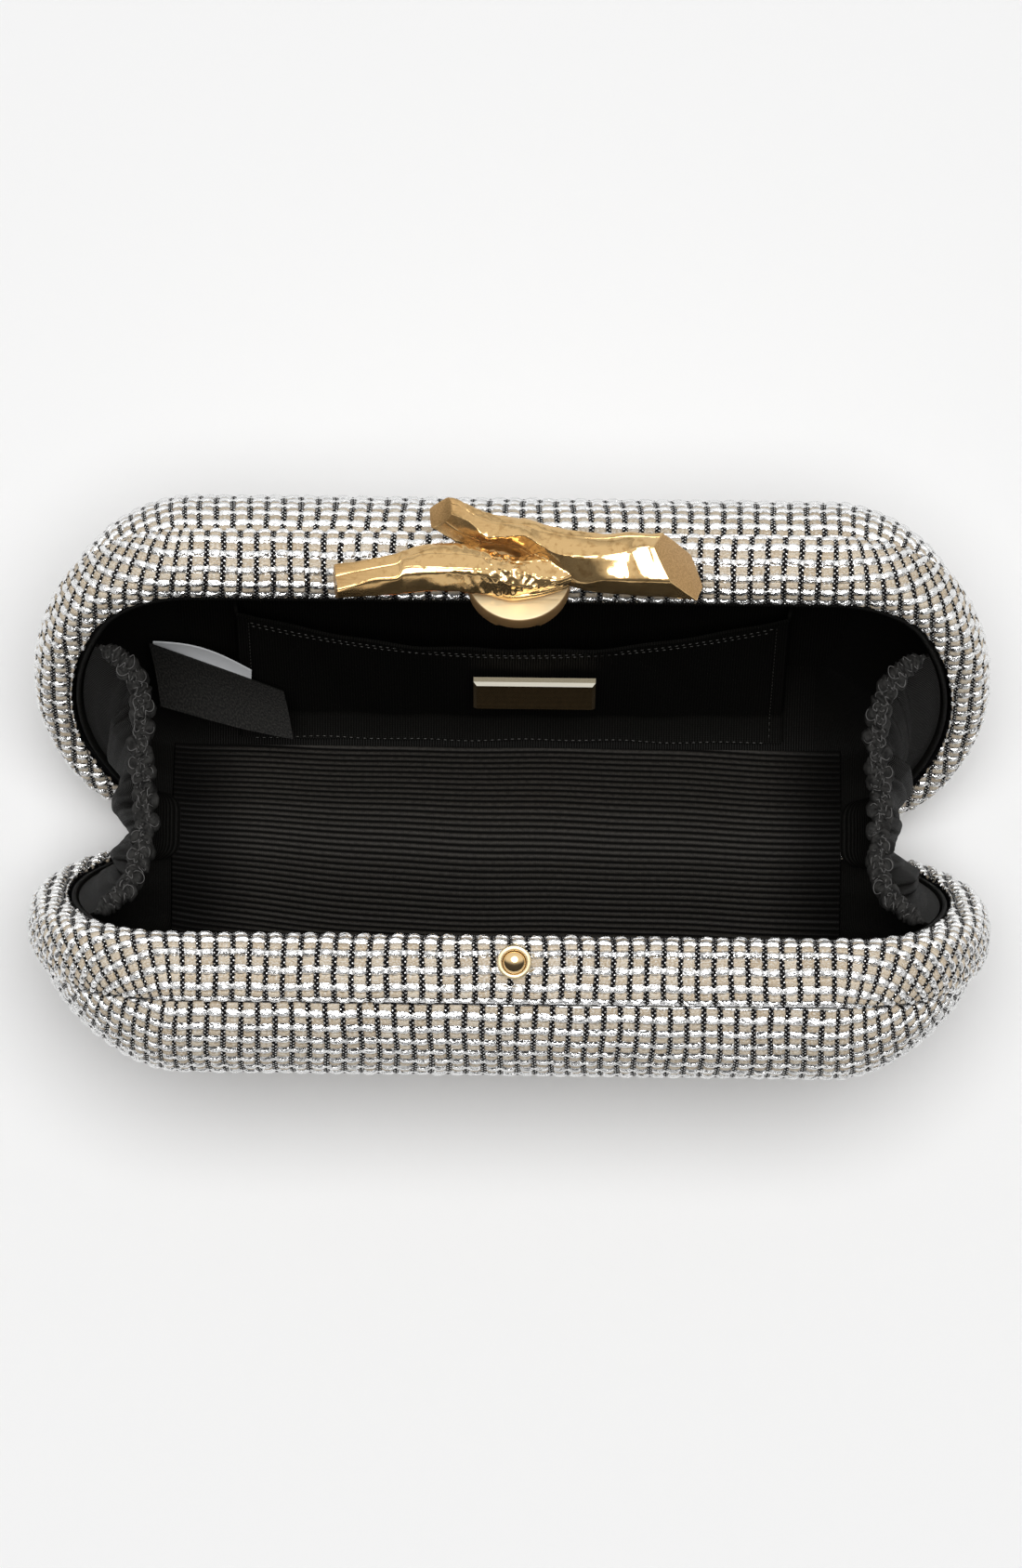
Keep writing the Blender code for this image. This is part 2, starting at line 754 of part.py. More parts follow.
woven_low = woven_label_rise * pocket_height
woven_share = (pocket_width / 2 - woven_label_width / 2) / (pocket_width / 2)
woven_rises = (woven_label_rise, woven_label_rise + woven_label_height / pocket_height)
woven_depth = min(pocket_front_depth(woven_share, rise) for rise in woven_rises) - label_stand
label("woven_label", -pocket_width / 2 - woven_label_width / 2, woven_label_width,
      pocket_foot + woven_low, woven_label_height, woven_depth, black_cloth)
care_low = pocket_height - care_label_height
care_rise = care_low / pocket_height
care_depth = (pocket_front_depth(1, care_rise) + pocket_end_depth(care_rise)) / 2
label("care_label", -pocket_edge - fit_gap - care_label_width, care_label_width,
      pocket_foot + care_low, care_label_height, care_depth, satin)

# Ribbed cloth floor that crosses the hinge and lies on both linings' curved walls
floor_lip = mating_depth + lining_lip_drop
floor_back_reach = pocket_front_depth(1, 0) - pocket_cloth / 2 - fit_gap * 2
floor_front_reach = inner_depth - floor_front_space


def floor_height(depth):
    share = max(depth - cover_start, 0) / (inner_depth - cover_start)
    rise = lining_reach * (1 - (1 - share ** pillow_power) ** (1 / pillow_power))
    return axis_to_rim + inner_inset + rise + fit_gap * 2 + floor_cloth / 2


def floor_run(reach):
    return [(depth, floor_height(depth)) for depth in (reach, (reach + cover_start) / 2, cover_start, floor_lip)]


floor_fold = floor_height(0)
floor_line = [(back_point, depth, height) for depth, height in floor_run(floor_back_reach)]
floor_line.append((back_point, -floor_fold * math.tan(half_angle), floor_fold - floor_sag))
floor_line += [(front_point, depth, height) for depth, height in reversed(floor_run(floor_front_reach))]
floor_grid = []
for place, depth, height in floor_line:
    floor_grid.append([place(x, depth, height) for x in (-floor_width / 2, floor_width / 2)])
floor_shape = bmesh.new()
sheet(floor_shape, floor_grid, floor_cloth)
piece("hinge_lining", floor_shape, black_cloth)

# Cloth gussets at both ends, drawn in at the top by a gathered elastic edge
gusset_columns = (-1, -0.8, -0.4, 0, 0.4, 0.8, 1)
gusset_rows = (0.0, 0.25, 0.5, 0.75, 1.0)
gusset_inset = inner_inset + fit_gap + gusset_cloth / 2


def gusset_point(sign, share, rise, lift):
    height = gusset_foot + (gusset_top - gusset_foot) * rise
    wall = half_width_at(gusset_inset, height)
    edge = back_point(wall, gusset_seat, height)
    drawn_share = gusset_foot_draw_share + (1 - gusset_foot_draw_share) * rise
    draw = gusset_draw * drawn_share + gusset_tuck * rise * (1 - rise)
    x = wall - draw * (1 - share ** 4)
    z = edge.z - gusset_dip * rise * (1 - share ** 2) + lift
    return Vector((x * sign, edge.y * share, z))


for side, sign in (("left", -1), ("right", 1)):
    grid = [[gusset_point(sign, share, rise, 0) for share in gusset_columns] for rise in gusset_rows]
    gusset = bmesh.new()
    sheet(gusset, grid, gusset_cloth)
    piece("gusset_" + side, gusset, black_cloth)
    lifts = (fit_gap, fit_gap + elastic_height)
    grid = [[gusset_point(sign, share * elastic_reach_share, 1, lift) for share in gusset_columns] for lift in lifts]
    band = bmesh.new()
    sheet(band, grid, elastic_thickness)
    piece("elastic_" + side, band, elastic_cloth)
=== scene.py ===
import math

import bmesh
import bpy
import numpy as np
from mathutils import Matrix, Vector
from mathutils import noise as mathutils_noise


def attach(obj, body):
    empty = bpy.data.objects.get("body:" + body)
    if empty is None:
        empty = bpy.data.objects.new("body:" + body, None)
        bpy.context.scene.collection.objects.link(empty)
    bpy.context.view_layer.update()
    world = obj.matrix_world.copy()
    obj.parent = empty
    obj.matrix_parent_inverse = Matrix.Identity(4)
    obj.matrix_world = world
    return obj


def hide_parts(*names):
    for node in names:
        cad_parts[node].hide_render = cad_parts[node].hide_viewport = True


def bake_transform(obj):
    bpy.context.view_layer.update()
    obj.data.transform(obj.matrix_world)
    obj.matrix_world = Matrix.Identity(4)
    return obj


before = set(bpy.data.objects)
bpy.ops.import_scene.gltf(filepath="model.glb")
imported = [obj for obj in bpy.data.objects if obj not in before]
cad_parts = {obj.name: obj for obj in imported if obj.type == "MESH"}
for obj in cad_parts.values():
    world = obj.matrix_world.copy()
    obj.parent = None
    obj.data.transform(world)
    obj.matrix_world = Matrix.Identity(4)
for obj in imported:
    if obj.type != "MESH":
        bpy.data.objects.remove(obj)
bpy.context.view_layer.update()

# Rigid shells and steel rim frames.
# Each half of the case is a moulded black shell with a folded steel band round its edge. They are hidden
# once the case is dressed, so they keep their CAD shapes with a moulded and a brushed finish.
opening_half_angle = math.radians(19.2)
hinge_height = 0.0019206
case_middle = 0.04975
core_half_length = 0.0586
core_half_height = 0.02175
edge_radius = 0.027
side_bow = 0.0044
side_radius = core_half_height ** 2 / (2 * side_bow) + side_bow / 2
side_middle = core_half_length + side_bow - side_radius
board_colour = (0.012, 0.012, 0.013, 1)
steel_colour = (0.55, 0.55, 0.56, 1)


class Signal:
    # A value inside a shader tree, which can stand in a sum like a number.
    def __init__(self, socket):
        self.socket = socket
        self.tree = socket.id_data

    def __add__(self, other):
        return calc("ADD", self, other)

    def __sub__(self, other):
        return calc("SUBTRACT", self, other)

    def __rsub__(self, other):
        return calc("SUBTRACT", other, self)

    def __mul__(self, other):
        return calc("MULTIPLY", self, other)

    def __truediv__(self, other):
        return calc("DIVIDE", self, other)

    __radd__ = __add__
    __rmul__ = __mul__


def wire(value, socket):
    # Links a signal to a socket, or sets a plain number or colour on it.
    if isinstance(value, Signal):
        value.tree.links.new(value.socket, socket)
    else:
        socket.default_value = value


def feed(node, **values):
    # Feeds a node's inputs, whose names have _ for a space here.
    for name, value in values.items():
        wire(value, node.inputs[name.replace("_", " ")])


def new_node(tree, kind, inputs=(), **settings):
    node = tree.nodes.new("ShaderNode" + kind)
    for name, value in settings.items():
        setattr(node, name, value)
    for key, value in dict(inputs).items():
        wire(value, node.inputs[key])
    return node


def calc(operation, *values, clamp=False):
    tree = next(value.tree for value in values if isinstance(value, Signal))
    return Signal(new_node(tree, "Math", enumerate(values), operation=operation, use_clamp=clamp).outputs[0])


def ramp(value, low, high, at_low=0.0, at_high=1.0):
    limits = {"Value": value, "From Min": low, "From Max": high, "To Min": at_low, "To Max": at_high}
    return Signal(new_node(value.tree, "MapRange", limits, interpolation_type="SMOOTHSTEP").outputs["Result"])


def blended(share, first, second):
    return Signal(new_node(share.tree, "Mix", {0: share, 6: first, 7: second}, data_type="RGBA").outputs[2])


def noise(tree, scale, detail=3.0, where=None, stretch=(1, 1, 1)):
    where = where or Signal(new_node(tree, "TexCoord").outputs["Object"])
    place = Signal(new_node(tree, "Mapping", {"Vector": where, "Scale": stretch}).outputs["Vector"])
    inputs = {"Vector": place, "Scale": scale, "Detail": detail}
    return Signal(new_node(tree, "TexNoise", inputs).outputs["Fac"])


def attribute(tree, name, output="Vector"):
    return Signal(new_node(tree, "Attribute", attribute_name=name).outputs[output])


def parts_of(vector):
    return [Signal(part) for part in new_node(vector.tree, "SeparateXYZ", {0: vector}).outputs]


def material(name, roughness, colour=(1, 1, 1, 1), metallic=0.0):
    made = bpy.data.materials.new(name)
    made.use_nodes = True
    shader = made.node_tree.nodes["Principled BSDF"]
    feed(shader, Base_Color=colour, Roughness=roughness, Metallic=metallic)
    return made, made.node_tree, shader


def bump(shader, height, strength, distance):
    inputs = {"Height": height, "Strength": strength, "Distance": distance}
    feed(shader, Normal=Signal(new_node(height.tree, "Bump", inputs).outputs["Normal"]))


def dress(look, *names):
    for name in names:
        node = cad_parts[name]
        node.data.materials.clear()
        node.data.materials.append(look)


board, tree, shader = material("moulded_board", 0.5, board_colour)
bump(shader, noise(tree, 1400), 0.3, 0.0001)
steel, tree, shader = material("brushed_steel", 0.35, steel_colour, 1.0)
brushing = noise(tree, 900, 2.0, None, (0.04, 1, 1))
feed(shader, Roughness=ramp(brushing, 0.3, 0.7, 0.25, 0.45))
bump(shader, brushing, 0.15, 0.00005)
dress(board, "back_shell", "front_shell")
dress(steel, "back_rim_frame", "front_rim_frame")

# Foam pads.
# A thin sheet of pale foam is glued over each shell, so the cloth over it looks full and has rounded edges.
# It is cut a little short of the shell's rim and carried down the curved wall.
foam_colour = (0.75, 0.73, 0.66, 1)
wall_start = 0.013
wall_power = 1.5
foam_inset = 0.0043
foam_depth = 0.0287
foam_reach = 0.019
foam_wall = 0.001
foam_face = 0.0015
foam_stations = 200
foam_rows = 14


def half_points(side, x, depth, height):
    # X along the case, depth out of its mating plane, height above the hinge, to the scene's X, Y and Z.
    lean, rise = math.sin(opening_half_angle), math.cos(opening_half_angle)
    y = height * lean + depth * rise
    z = hinge_height + height * rise - depth * lean
    return np.stack([x, y if side == "back" else -y, z], axis=-1)


def unit(vectors):
    return vectors / np.linalg.norm(vectors, axis=-1, keepdims=True)


def lengths(points):
    # How far along a line each of its points lies.
    return np.concatenate([[0], np.cumsum(np.linalg.norm(np.diff(points, axis=0), axis=1))])


def rim_run(count):
    # Points spread evenly round the case's core line: place, outward direction and length from the start.
    corner = math.asin(core_half_height / side_radius)
    share = np.arange(400) / 400
    level, upright = np.full(400, core_half_height), np.ones(400)
    turn = math.pi / 2 - (math.pi / 2 - corner) * share
    across, up = np.cos(corner * (1 - share)), np.sin(corner * (1 - share))
    quarter = np.concatenate([np.stack(columns, axis=1) for columns in (
        (core_half_length * share, level, 0 * share, upright),
        (core_half_length * upright, level, np.cos(turn), np.sin(turn)),
        (side_middle + side_radius * across, side_radius * up, across, up),
    )])
    half = np.concatenate([quarter, quarter[::-1] * (1, -1, 1, -1)])
    whole = np.concatenate([half, half[::-1] * (-1, 1, -1, 1), half[:1]])
    length = lengths(whole[:, :2] + whole[:, 2:] * edge_radius)
    wanted = np.linspace(0, length[-1], count, endpoint=False)
    spread = np.stack([np.interp(wanted, length, column) for column in whole.T], axis=1)
    return np.concatenate([spread[:, :2], unit(spread[:, 2:])], axis=1), wanted


def rim_ring(side, run, inset, depth):
    reach = edge_radius - inset
    x = run[:, 0] + run[:, 2] * reach
    height = case_middle + run[:, 1] + run[:, 3] * reach
    return half_points(side, x, np.full(len(run), depth), height)


def wall_inset(share, reach):
    return reach * (1 - (1 - np.asarray(share) ** wall_power) ** (1 / wall_power))


def wall_rings(side, run, inset, depth, reach, rows):
    # Rings down a half's pillow-shaped wall, from its rim to its face.
    shares = np.linspace(0, 1, rows)
    places = zip(inset + wall_inset(shares, reach), wall_start + (depth - wall_start) * shares)
    return [rim_ring(side, run, *place) for place in places]


def mesh_piece(name, points, faces, look):
    mesh = bpy.data.meshes.new(name)
    mesh.from_pydata([tuple(p) for p in points], [], [tuple(f) for f in faces])
    mesh.materials.append(look)
    mesh.validate()
    mesh.update()
    mesh.shade_smooth()
    made = bpy.data.objects.new(name, mesh)
    bpy.context.scene.collection.objects.link(made)
    return made


def solid_piece(name, points, faces, look, sharp=None):
    # A closed piece with its faces outwards, creased where they meet at more than sharp degrees.
    made = mesh_piece(name, points, faces, look)
    shape = bmesh.new()
    shape.from_mesh(made.data)
    bmesh.ops.recalc_face_normals(shape, faces=shape.faces)
    if shape.calc_volume(signed=True) < 0:
        bmesh.ops.reverse_faces(shape, faces=shape.faces)
    shape.to_mesh(made.data)
    shape.free()
    if sharp:
        made.data.set_sharp_from_angle(angle=math.radians(sharp))
    return made


def grid_faces(rows, columns, start=0, around=False):
    faces = []
    for i in range(rows - 1):
        here, there = start + i * columns, start + (i + 1) * columns
        for j in range(columns if around else columns - 1):
            k = (j + 1) % columns
            faces.append((here + j, here + k, there + k, there + j))
    return faces


def tube_faces(rings, count, start=0):
    # The skin over rings of count points each, with a cap at both ends.
    ends = start, start + (rings - 1) * count
    return grid_faces(rings, count, start, True) + [tuple(range(first, first + count)) for first in ends]


def stand_in(piece, node, body, slot):
    # The piece takes the place of a plain CAD solid and moves with its body.
    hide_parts(node)
    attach(piece, body)


foam, tree, shader = material("foam", 0.9, foam_colour)
pores = noise(tree, 2600, 2.0)
feed(shader, Base_Color=blended(pores, (0.62, 0.60, 0.53, 1), (0.82, 0.80, 0.74, 1)))
bump(shader, pores, 0.6, 0.0002)
foam_run, _ = rim_run(foam_stations)
for side in ("back", "front"):
    outer = wall_rings(side, foam_run, foam_inset, foam_depth, foam_reach, foam_rows)
    inner = wall_rings(side, foam_run, foam_inset + foam_wall, foam_depth - foam_face, foam_reach, foam_rows)
    faces = tube_faces(2 * foam_rows, foam_stations)
    pad = solid_piece(side + "_foam_pad", np.concatenate(outer[::-1] + inner), faces, foam, 40)
    stand_in(pad, side + "_padding", side + "_half", "foam")

# Woven body covers.
# A chunky cloth of cream and silver foil wefts, bound by twisted black threads with small bright beads, is
# drawn over each padded half in one piece. Its edge is turned in at the crease behind the collar.
thread_pitch = 0.0031
row_pitch = 0.0035
cover_inset = 0.003
cover_reach = 0.019
cover_depth = 0.0302
face_crown = 0.0008
weave_relief = 0.0012
hem_depth = 0.0012
silver_middle = 0.25
silver_half = 0.275
silver_neck = 0.16
thread_share = 0.165
cream_colour = (0.60, 0.485, 0.345, 1)
pale_cream_colour = (0.76, 0.66, 0.52, 1)
silver_colour = (0.93, 0.93, 0.925, 1)
thread_colour = (0.004, 0.0035, 0.004, 1)
bead_colour = (0.92, 0.91, 0.89, 1)
fibre_colours = (0.86, 0.83, 0.77, 1), (0.36, 0.28, 0.19, 1)
# Painted shade for the gaps at the foil's edges and at each row's end.
gap_shade_colour = (0.10, 0.085, 0.07, 1)
cover_shift = (0.45, 0.3)
cover_columns = (0, 0.09, 0.18, 0.34, 0.66, 0.82, 0.91)
cover_rows = (0, 0.07, 0.25, 0.43, 0.51, 0.62, 0.88)
beads_per_row = 3.25


def smooth_line(points, per_span):
    # A smooth line through the points.
    points = np.asarray(points, float)
    padded = np.concatenate([points[:1] * 2 - points[1:2], points, points[-1:] * 2 - points[-2:-1]])
    parts = []
    for a, b, c, d in zip(padded, padded[1:], padded[2:], padded[3:]):
        t = np.linspace(0, 1, per_span, endpoint=False)[:, None]
        bend, twist = 2 * a - 5 * b + 4 * c - d, 3 * b - a - 3 * c + d
        parts.append(0.5 * (2 * b + (c - a) * t + bend * t ** 2 + twist * t ** 3))
    parts.append(points[-1:])
    return np.concatenate(parts)


def scatter(first, second):
    # An even scatter from 0 to 1 that is the same each run.
    return np.mod(np.sin(first * 12.9898 + second * 78.233) * 43758.5453, 1)


def eased(value, low, high):
    share = np.clip((value - low) / (high - low), 0, 1)
    return share * share * (3 - 2 * share)


def weave_height(columns, rows):
    # How high the cloth stands, from 0 in its gaps to 1 on its foil, by column and row of the weave.
    thread = np.round(columns)
    off = np.abs(columns - thread)
    row = np.floor(rows)
    along = rows - row
    bridged = np.mod(thread + row, 2) < 0.5
    block = np.floor(columns)
    full = 0.84 + 0.16 * scatter(block, row)
    puff = np.sqrt(np.clip(1 - ((0.5 - off) / 0.42) ** 2, 0, 1))
    reach = silver_neck + (silver_half - silver_neck) * puff
    foil = np.sqrt(np.clip(1 - ((along - silver_middle) / reach) ** 2, 0, 1))
    foil *= np.where(bridged, 0.62 + 0.38 * puff, puff)
    cream_middle, cream_half = (1 + silver_middle + silver_half) / 2, (1 - silver_middle - silver_half) / 2
    from_cream = np.abs(along - cream_middle) / cream_half
    cream = np.clip(1 - from_cream ** 4, 0, 1) ** 0.5
    cream *= eased(off, 0.12, 0.26) * 0.66
    cord = np.sqrt(np.clip(1 - (off / 0.2) ** 2, 0, 1)) * np.where(bridged, 0.46, 0.62)
    return np.maximum(np.maximum(foil * full, cream * (0.88 + 0.12 * scatter(row, block))), cord)


def rim_place(x, z):
    # For flat places on the cloth: the core line's nearest point, the direction from it and the distance.
    across, up = np.abs(x), np.abs(z)
    past, level = across - core_half_length, up - core_half_height
    angle = np.arctan2(up, across - side_middle)
    bowed = np.hypot(across - side_middle, up) - side_radius
    away = np.hypot(past, level)
    turned_by = np.maximum(away, 1e-9)
    on_flat = past <= 0
    on_side = ~on_flat & (angle <= math.asin(core_half_height / side_radius))

    def by_zone(flat, beside, corner):
        return np.where(on_flat, flat, np.where(on_side, beside, corner))

    out_x = by_zone(0, np.cos(angle), past / turned_by)
    out_z = by_zone(1, np.sin(angle), level / turned_by)
    foot_x = by_zone(across, side_middle + side_radius * np.cos(angle), core_half_length)
    foot_z = by_zone(core_half_height, side_radius * np.sin(angle), core_half_height)
    distance = by_zone(np.where(level > 0, level, np.maximum(level, bowed)), bowed, away)
    return foot_x * np.sign(x), foot_z * np.sign(z), out_x * np.sign(x), out_z * np.sign(z), distance


def cloth_points(side, x, z, distance_limits, line):
    # Folds flat places on the cloth round the case. The line gives offset and depth by flat distance.
    foot_x, foot_z, out_x, out_z, distance = rim_place(x, z)
    held = np.clip(distance, *distance_limits)
    flat, offset, depth = line
    reach = np.interp(held, flat, offset)
    deep = np.interp(held, flat, depth)
    on_face = (distance < flat[0]) & (distance_limits[0] < 0)
    crown = face_crown * np.clip(1 - np.abs(x / (core_half_length + flat[0])) ** 3, 0, 1)
    crown *= np.clip(1 - np.abs(z / (core_half_height + flat[0])) ** 3, 0, 1)
    along = np.where(on_face, x, foot_x + out_x * reach)
    height = np.where(on_face, z, foot_z + out_z * reach)
    return half_points(side, along, np.where(on_face, deep + crown, deep), case_middle + height)


def mark(piece, name, values):
    # Keeps a number or a vector at each point, for the material to read.
    values = np.asarray(values, np.float32)
    vectors = values.shape[-1] == 3
    layer = piece.data.attributes.new(name, "FLOAT_VECTOR" if vectors else "FLOAT", "POINT")
    layer.data.foreach_set("vector" if vectors else "value", values.ravel())


def flat_marks(first, second):
    return np.stack(np.broadcast_arrays(first, second, 0.0), axis=-1)


def woven_cloth_piece(name, side, limits, line, column_stops, row_stops, shift, outward):
    # Cloth cut between two distances from the core line, folded along line, with a thin turned edge.
    reach_x = core_half_length + side_bow + limits[1] + row_pitch
    reach_z = core_half_height + limits[1] + row_pitch
    cells_x, cells_z = math.ceil(reach_x / thread_pitch), math.ceil(reach_z / row_pitch)
    columns = np.concatenate([np.array(column_stops) + i for i in range(-cells_x, cells_x)])
    rows = np.concatenate([np.array(row_stops) + i for i in range(-cells_z, cells_z)])
    c, r = np.meshgrid(columns, rows)
    x = (c + shift[0]) * thread_pitch + 0.00018 * np.sin(r * 0.9 + 0.3 * c)
    x += 0.0003 * np.sin(c * 0.21 + 1.7 * np.sin(r * 0.17))
    z = (r + shift[1]) * row_pitch + 0.00016 * np.sin(c * 1.3)
    z += 0.0003 * np.sin(r * 0.23 + 1.3 * np.sin(c * 0.11))
    *_, distance = rim_place(x, z)
    middle = (distance[1:, 1:] + distance[:-1, :-1] + distance[1:, :-1] + distance[:-1, 1:]) / 4
    places = cloth_points(side, x, z, limits, line)
    normal = np.cross(np.gradient(places, axis=1), np.gradient(places, axis=0))
    normal *= outward / np.maximum(np.linalg.norm(normal, axis=-1), 1e-12)[..., None]
    normal *= 1 if side == "back" else -1
    raised = places + normal * ((weave_height(c, r) - 1) * weave_relief)[..., None]
    width = len(columns)
    i, j = np.nonzero((middle > limits[0]) & (middle < limits[1]))
    first = i * width + j
    quads = np.stack([first, first + 1, first + width + 1, first + width], axis=1)
    used, quads = np.unique(quads, return_inverse=True)
    quads = quads.reshape(-1, 4)
    points, normals = raised.reshape(-1, 3)[used], normal.reshape(-1, 3)[used]
    lattice = flat_marks(c, r).reshape(-1, 3)[used]
    # The open edges are those that only one face has.
    edges = np.concatenate([quads[:, [k, (k + 1) % 4]] for k in range(4)])
    ordered = np.sort(edges, axis=1).astype(np.int64)
    keys = ordered[:, 0] * len(used) + ordered[:, 1]
    _, back, counts = np.unique(keys, return_inverse=True, return_counts=True)
    rim = edges[counts[back] == 1]
    rim_points = np.unique(rim)
    lower = np.full(len(used), -1)
    lower[rim_points] = len(used) + np.arange(len(rim_points))
    points = np.concatenate([points, points[rim_points] - normals[rim_points] * hem_depth])
    hem = np.stack([rim[:, 1], rim[:, 0], lower[rim[:, 0]], lower[rim[:, 1]]], axis=1)
    faces = np.concatenate([quads, hem])
    if (outward < 0) != (side == "front"):
        faces = faces[:, ::-1]
    made = mesh_piece(name, points, faces.tolist(), woven_cloth)
    mark(made, "weave", np.concatenate([lattice, lattice[rim_points]]))
    return made


def group_of(name, inputs, outputs):
    tree = bpy.data.node_groups.new(name, "ShaderNodeTree")
    for way, sockets in (("INPUT", inputs), ("OUTPUT", outputs)):
        for label, kind in sockets.items():
            tree.interface.new_socket(label, in_out=way, socket_type="NodeSocket" + kind)
    given = tree.nodes.new("NodeGroupInput").outputs
    return tree, {label: Signal(given[label]) for label in inputs}, tree.nodes.new("NodeGroupOutput")


def placed(tree, group, **values):
    node = new_node(tree, "Group", node_tree=group)
    feed(node, **values)
    return {socket.name: Signal(socket) for socket in node.outputs}


def cell_scatter(first, second):
    cell = Signal(new_node(first.tree, "CombineXYZ", {0: first, 1: second}).outputs[0])
    node = new_node(first.tree, "TexWhiteNoise", {"Vector": cell}, noise_dimensions="2D")
    return Signal(node.outputs["Value"])


# The weave as seen close up: which thread shows, its colour with painted shade in the gaps between its
# blocks, and its fine relief.
weave_outputs = {"Colour": "Color", "Foil": "Float", "Shine": "Float", "Height": "Float"}
weave_tree, given, result = group_of("Foil and cream weave", {"Place": "Vector"}, weave_outputs)
column, row, _ = parts_of(given["Place"])
thread = calc("ROUND", column)
lean = column - thread
off = calc("ABSOLUTE", lean)
row_number = calc("FLOOR", row)
along = row - row_number
bridged = 1.0 - calc("FLOORED_MODULO", thread + row_number, 2.0)
block_scatter = cell_scatter(calc("FLOOR", column), row_number)
sideways = (0.5 - off) / 0.42
puff = calc("SQRT", calc("MAXIMUM", 1.0 - sideways * sideways, 0.0))
reach = silver_neck + puff * (silver_half - silver_neck)
from_middle = calc("ABSOLUTE", along - silver_middle) / reach
frayed = off + (noise(weave_tree, 1.0, 2.0, given["Place"], (4, 13, 1)) - 0.5) * 0.26
clear = ramp(frayed, thread_share - 0.03, thread_share + 0.02)
neck = bridged * ramp(from_middle, 0.8, 1.0, 1.0, 0.0)
foil = ramp(from_middle, 0.9, 1.04, 1.0, 0.0) * calc("MAXIMUM", clear, neck)
black = (1.0 - clear) * (1.0 - foil)
# Beads stand in zigzag down each thread.
beads = []
for sign, shift in ((-1, 0.0), (1, 0.5)):
    sideways = (lean - 0.08 * sign) * (thread_pitch * 1000)
    upwards = (calc("FRACT", row * beads_per_row + shift) - 0.5) * (row_pitch * 1000 / beads_per_row)
    beads.append(ramp(calc("SQRT", sideways * sideways + upwards * upwards), 0.13, 0.19, 1.0, 0.0))
bead = calc("MAXIMUM", *beads) * black
fibres = noise(weave_tree, 1.0, 4.0, given["Place"], (7, 13, 1))
crinkle = noise(weave_tree, 1.0, 3.0, given["Place"], (3.6, 9, 1))
shade = blended(block_scatter, cream_colour, pale_cream_colour)
shade = blended(ramp(fibres, 0.50, 0.64, 0.0, 0.75), shade, fibre_colours[0])
shade = blended(ramp(fibres, 0.36, 0.48, 0.5, 0.0), shade, fibre_colours[1])
# Painted shade: the cream is darkened round each foil block and at the end of each row, where the gaps lie.
shade = blended(ramp(from_middle, 0.96, 1.14) * ramp(along, 0.95, 1.0, 1.0, 0.0), gap_shade_colour, shade)
for share, colour in ((foil, silver_colour), (black, thread_colour), (bead, bead_colour)):
    shade = blended(share, shade, colour)
dull = foil * (block_scatter * 0.08 - 0.74) + 0.82 - bead * 0.5
twist = calc("SINE", row * 33.0 + lean * 30.0)
fine = bead + twist * black * 0.25 + crinkle * foil * 1.5
fine = fine + fibres * (1.0 - calc("MAXIMUM", foil, black)) * 0.9
feed(result, Colour=shade, Foil=calc("MAXIMUM", foil, bead), Shine=dull, Height=fine)

woven_cloth, tree, shader = material("woven_cloth", 0.5)
seen = placed(tree, weave_tree, Place=attribute(tree, "weave"))
feed(shader, Base_Color=seen["Colour"], Metallic=seen["Foil"], Roughness=seen["Shine"])
feed(shader, Specular_IOR_Level=0.1)
bump(shader, seen["Height"], 0.7, 0.00035)

shares = np.linspace(1, 0, 240)
wall_offset = edge_radius - cover_inset - wall_inset(shares, cover_reach)
wall_depth = wall_start + (cover_depth - wall_start) * shares
wall_flat = lengths(np.stack([wall_offset, wall_depth], axis=1)) + wall_offset[0]
wall_line = (wall_flat, wall_offset, wall_depth)
cover_limits = (-1.0, wall_flat[-1])
across = 2 * (core_half_length + side_bow + wall_flat[-1])
down = 2 * (core_half_height + wall_flat[-1])
corners = (4 - math.pi) * wall_flat[-1] ** 2
for side in ("back", "front"):
    name = side + "_woven_cover"
    cover = woven_cloth_piece(name, side, cover_limits, wall_line, cover_columns, cover_rows, cover_shift, -1)
    stand_in(cover, side + "_cover", side + "_half", "woven_cloth")
    across * down - corners

# Padded rim collars.
# A strip of the same cloth is cut to the case's outline, filled with wadding and pulled round the rim frame.
# Its inner edge is tucked behind the lining, and its outer edge meets the body cover in a deep crease.
collar_line_points = (
    (8.0, 1.5), (7.85, 0.6), (6.9, 0.3), (4.6, 0.3), (2.7, 0.62), (1.25, 1.7), (0.4, 3.4), (0.02, 5.4),
    (0.0, 7.2), (0.22, 9.2), (0.9, 11.15), (1.9, 12.35), (2.7, 12.85),
)
collar_columns = (0, 0.08, 0.16, 0.26, 0.4, 0.6, 0.74, 0.84, 0.92)
collar_rows = (0, 0.05, 0.14, 0.25, 0.36, 0.45, 0.51, 0.60, 0.75, 0.90, 0.96)
collar_points = smooth_line(collar_line_points, 16) / 1000
collar_offset = edge_radius - collar_points[:, 0]
collar_flat = lengths(collar_points) + collar_offset[0]
collar_line = (collar_flat, collar_offset, collar_points[:, 1])
collar_limits = (collar_flat[0], collar_flat[-1])
for side in ("back", "front"):
    name = side + "_rim_collar"
    collar = woven_cloth_piece(name, side, collar_limits, collar_line, collar_columns, collar_rows, (0, 0), 1)
    stand_in(collar, side + "_rim_cover", side + "_half", "woven_cloth")

# Lining trays.
# Black ribbed faille is glued over a thin pressed board that lines each half. Its ribs run down the
# walls, and its edge lies just below the collar's lip all round.
lining_inset = 0.0084
lining_wall = 0.0008
lining_reach = 0.0168
lining_depth = 0.0249
lining_inside = lining_depth - lining_wall
lining_straight = 0.004
lip_depth = 0.0013
faille_pitch = 0.0005
# Painted sheen on the black faille's rib crests and painted shade in its grooves.
ridge_sheen_colour = (0.0095, 0.009, 0.0078, 1)
groove_shade_colour = (0.0022, 0.002, 0.0016, 1)
lining_stations = 520
lining_rows = 26
face_shares = (0.995, 0.8, 0.55, 0.3, 0.08)

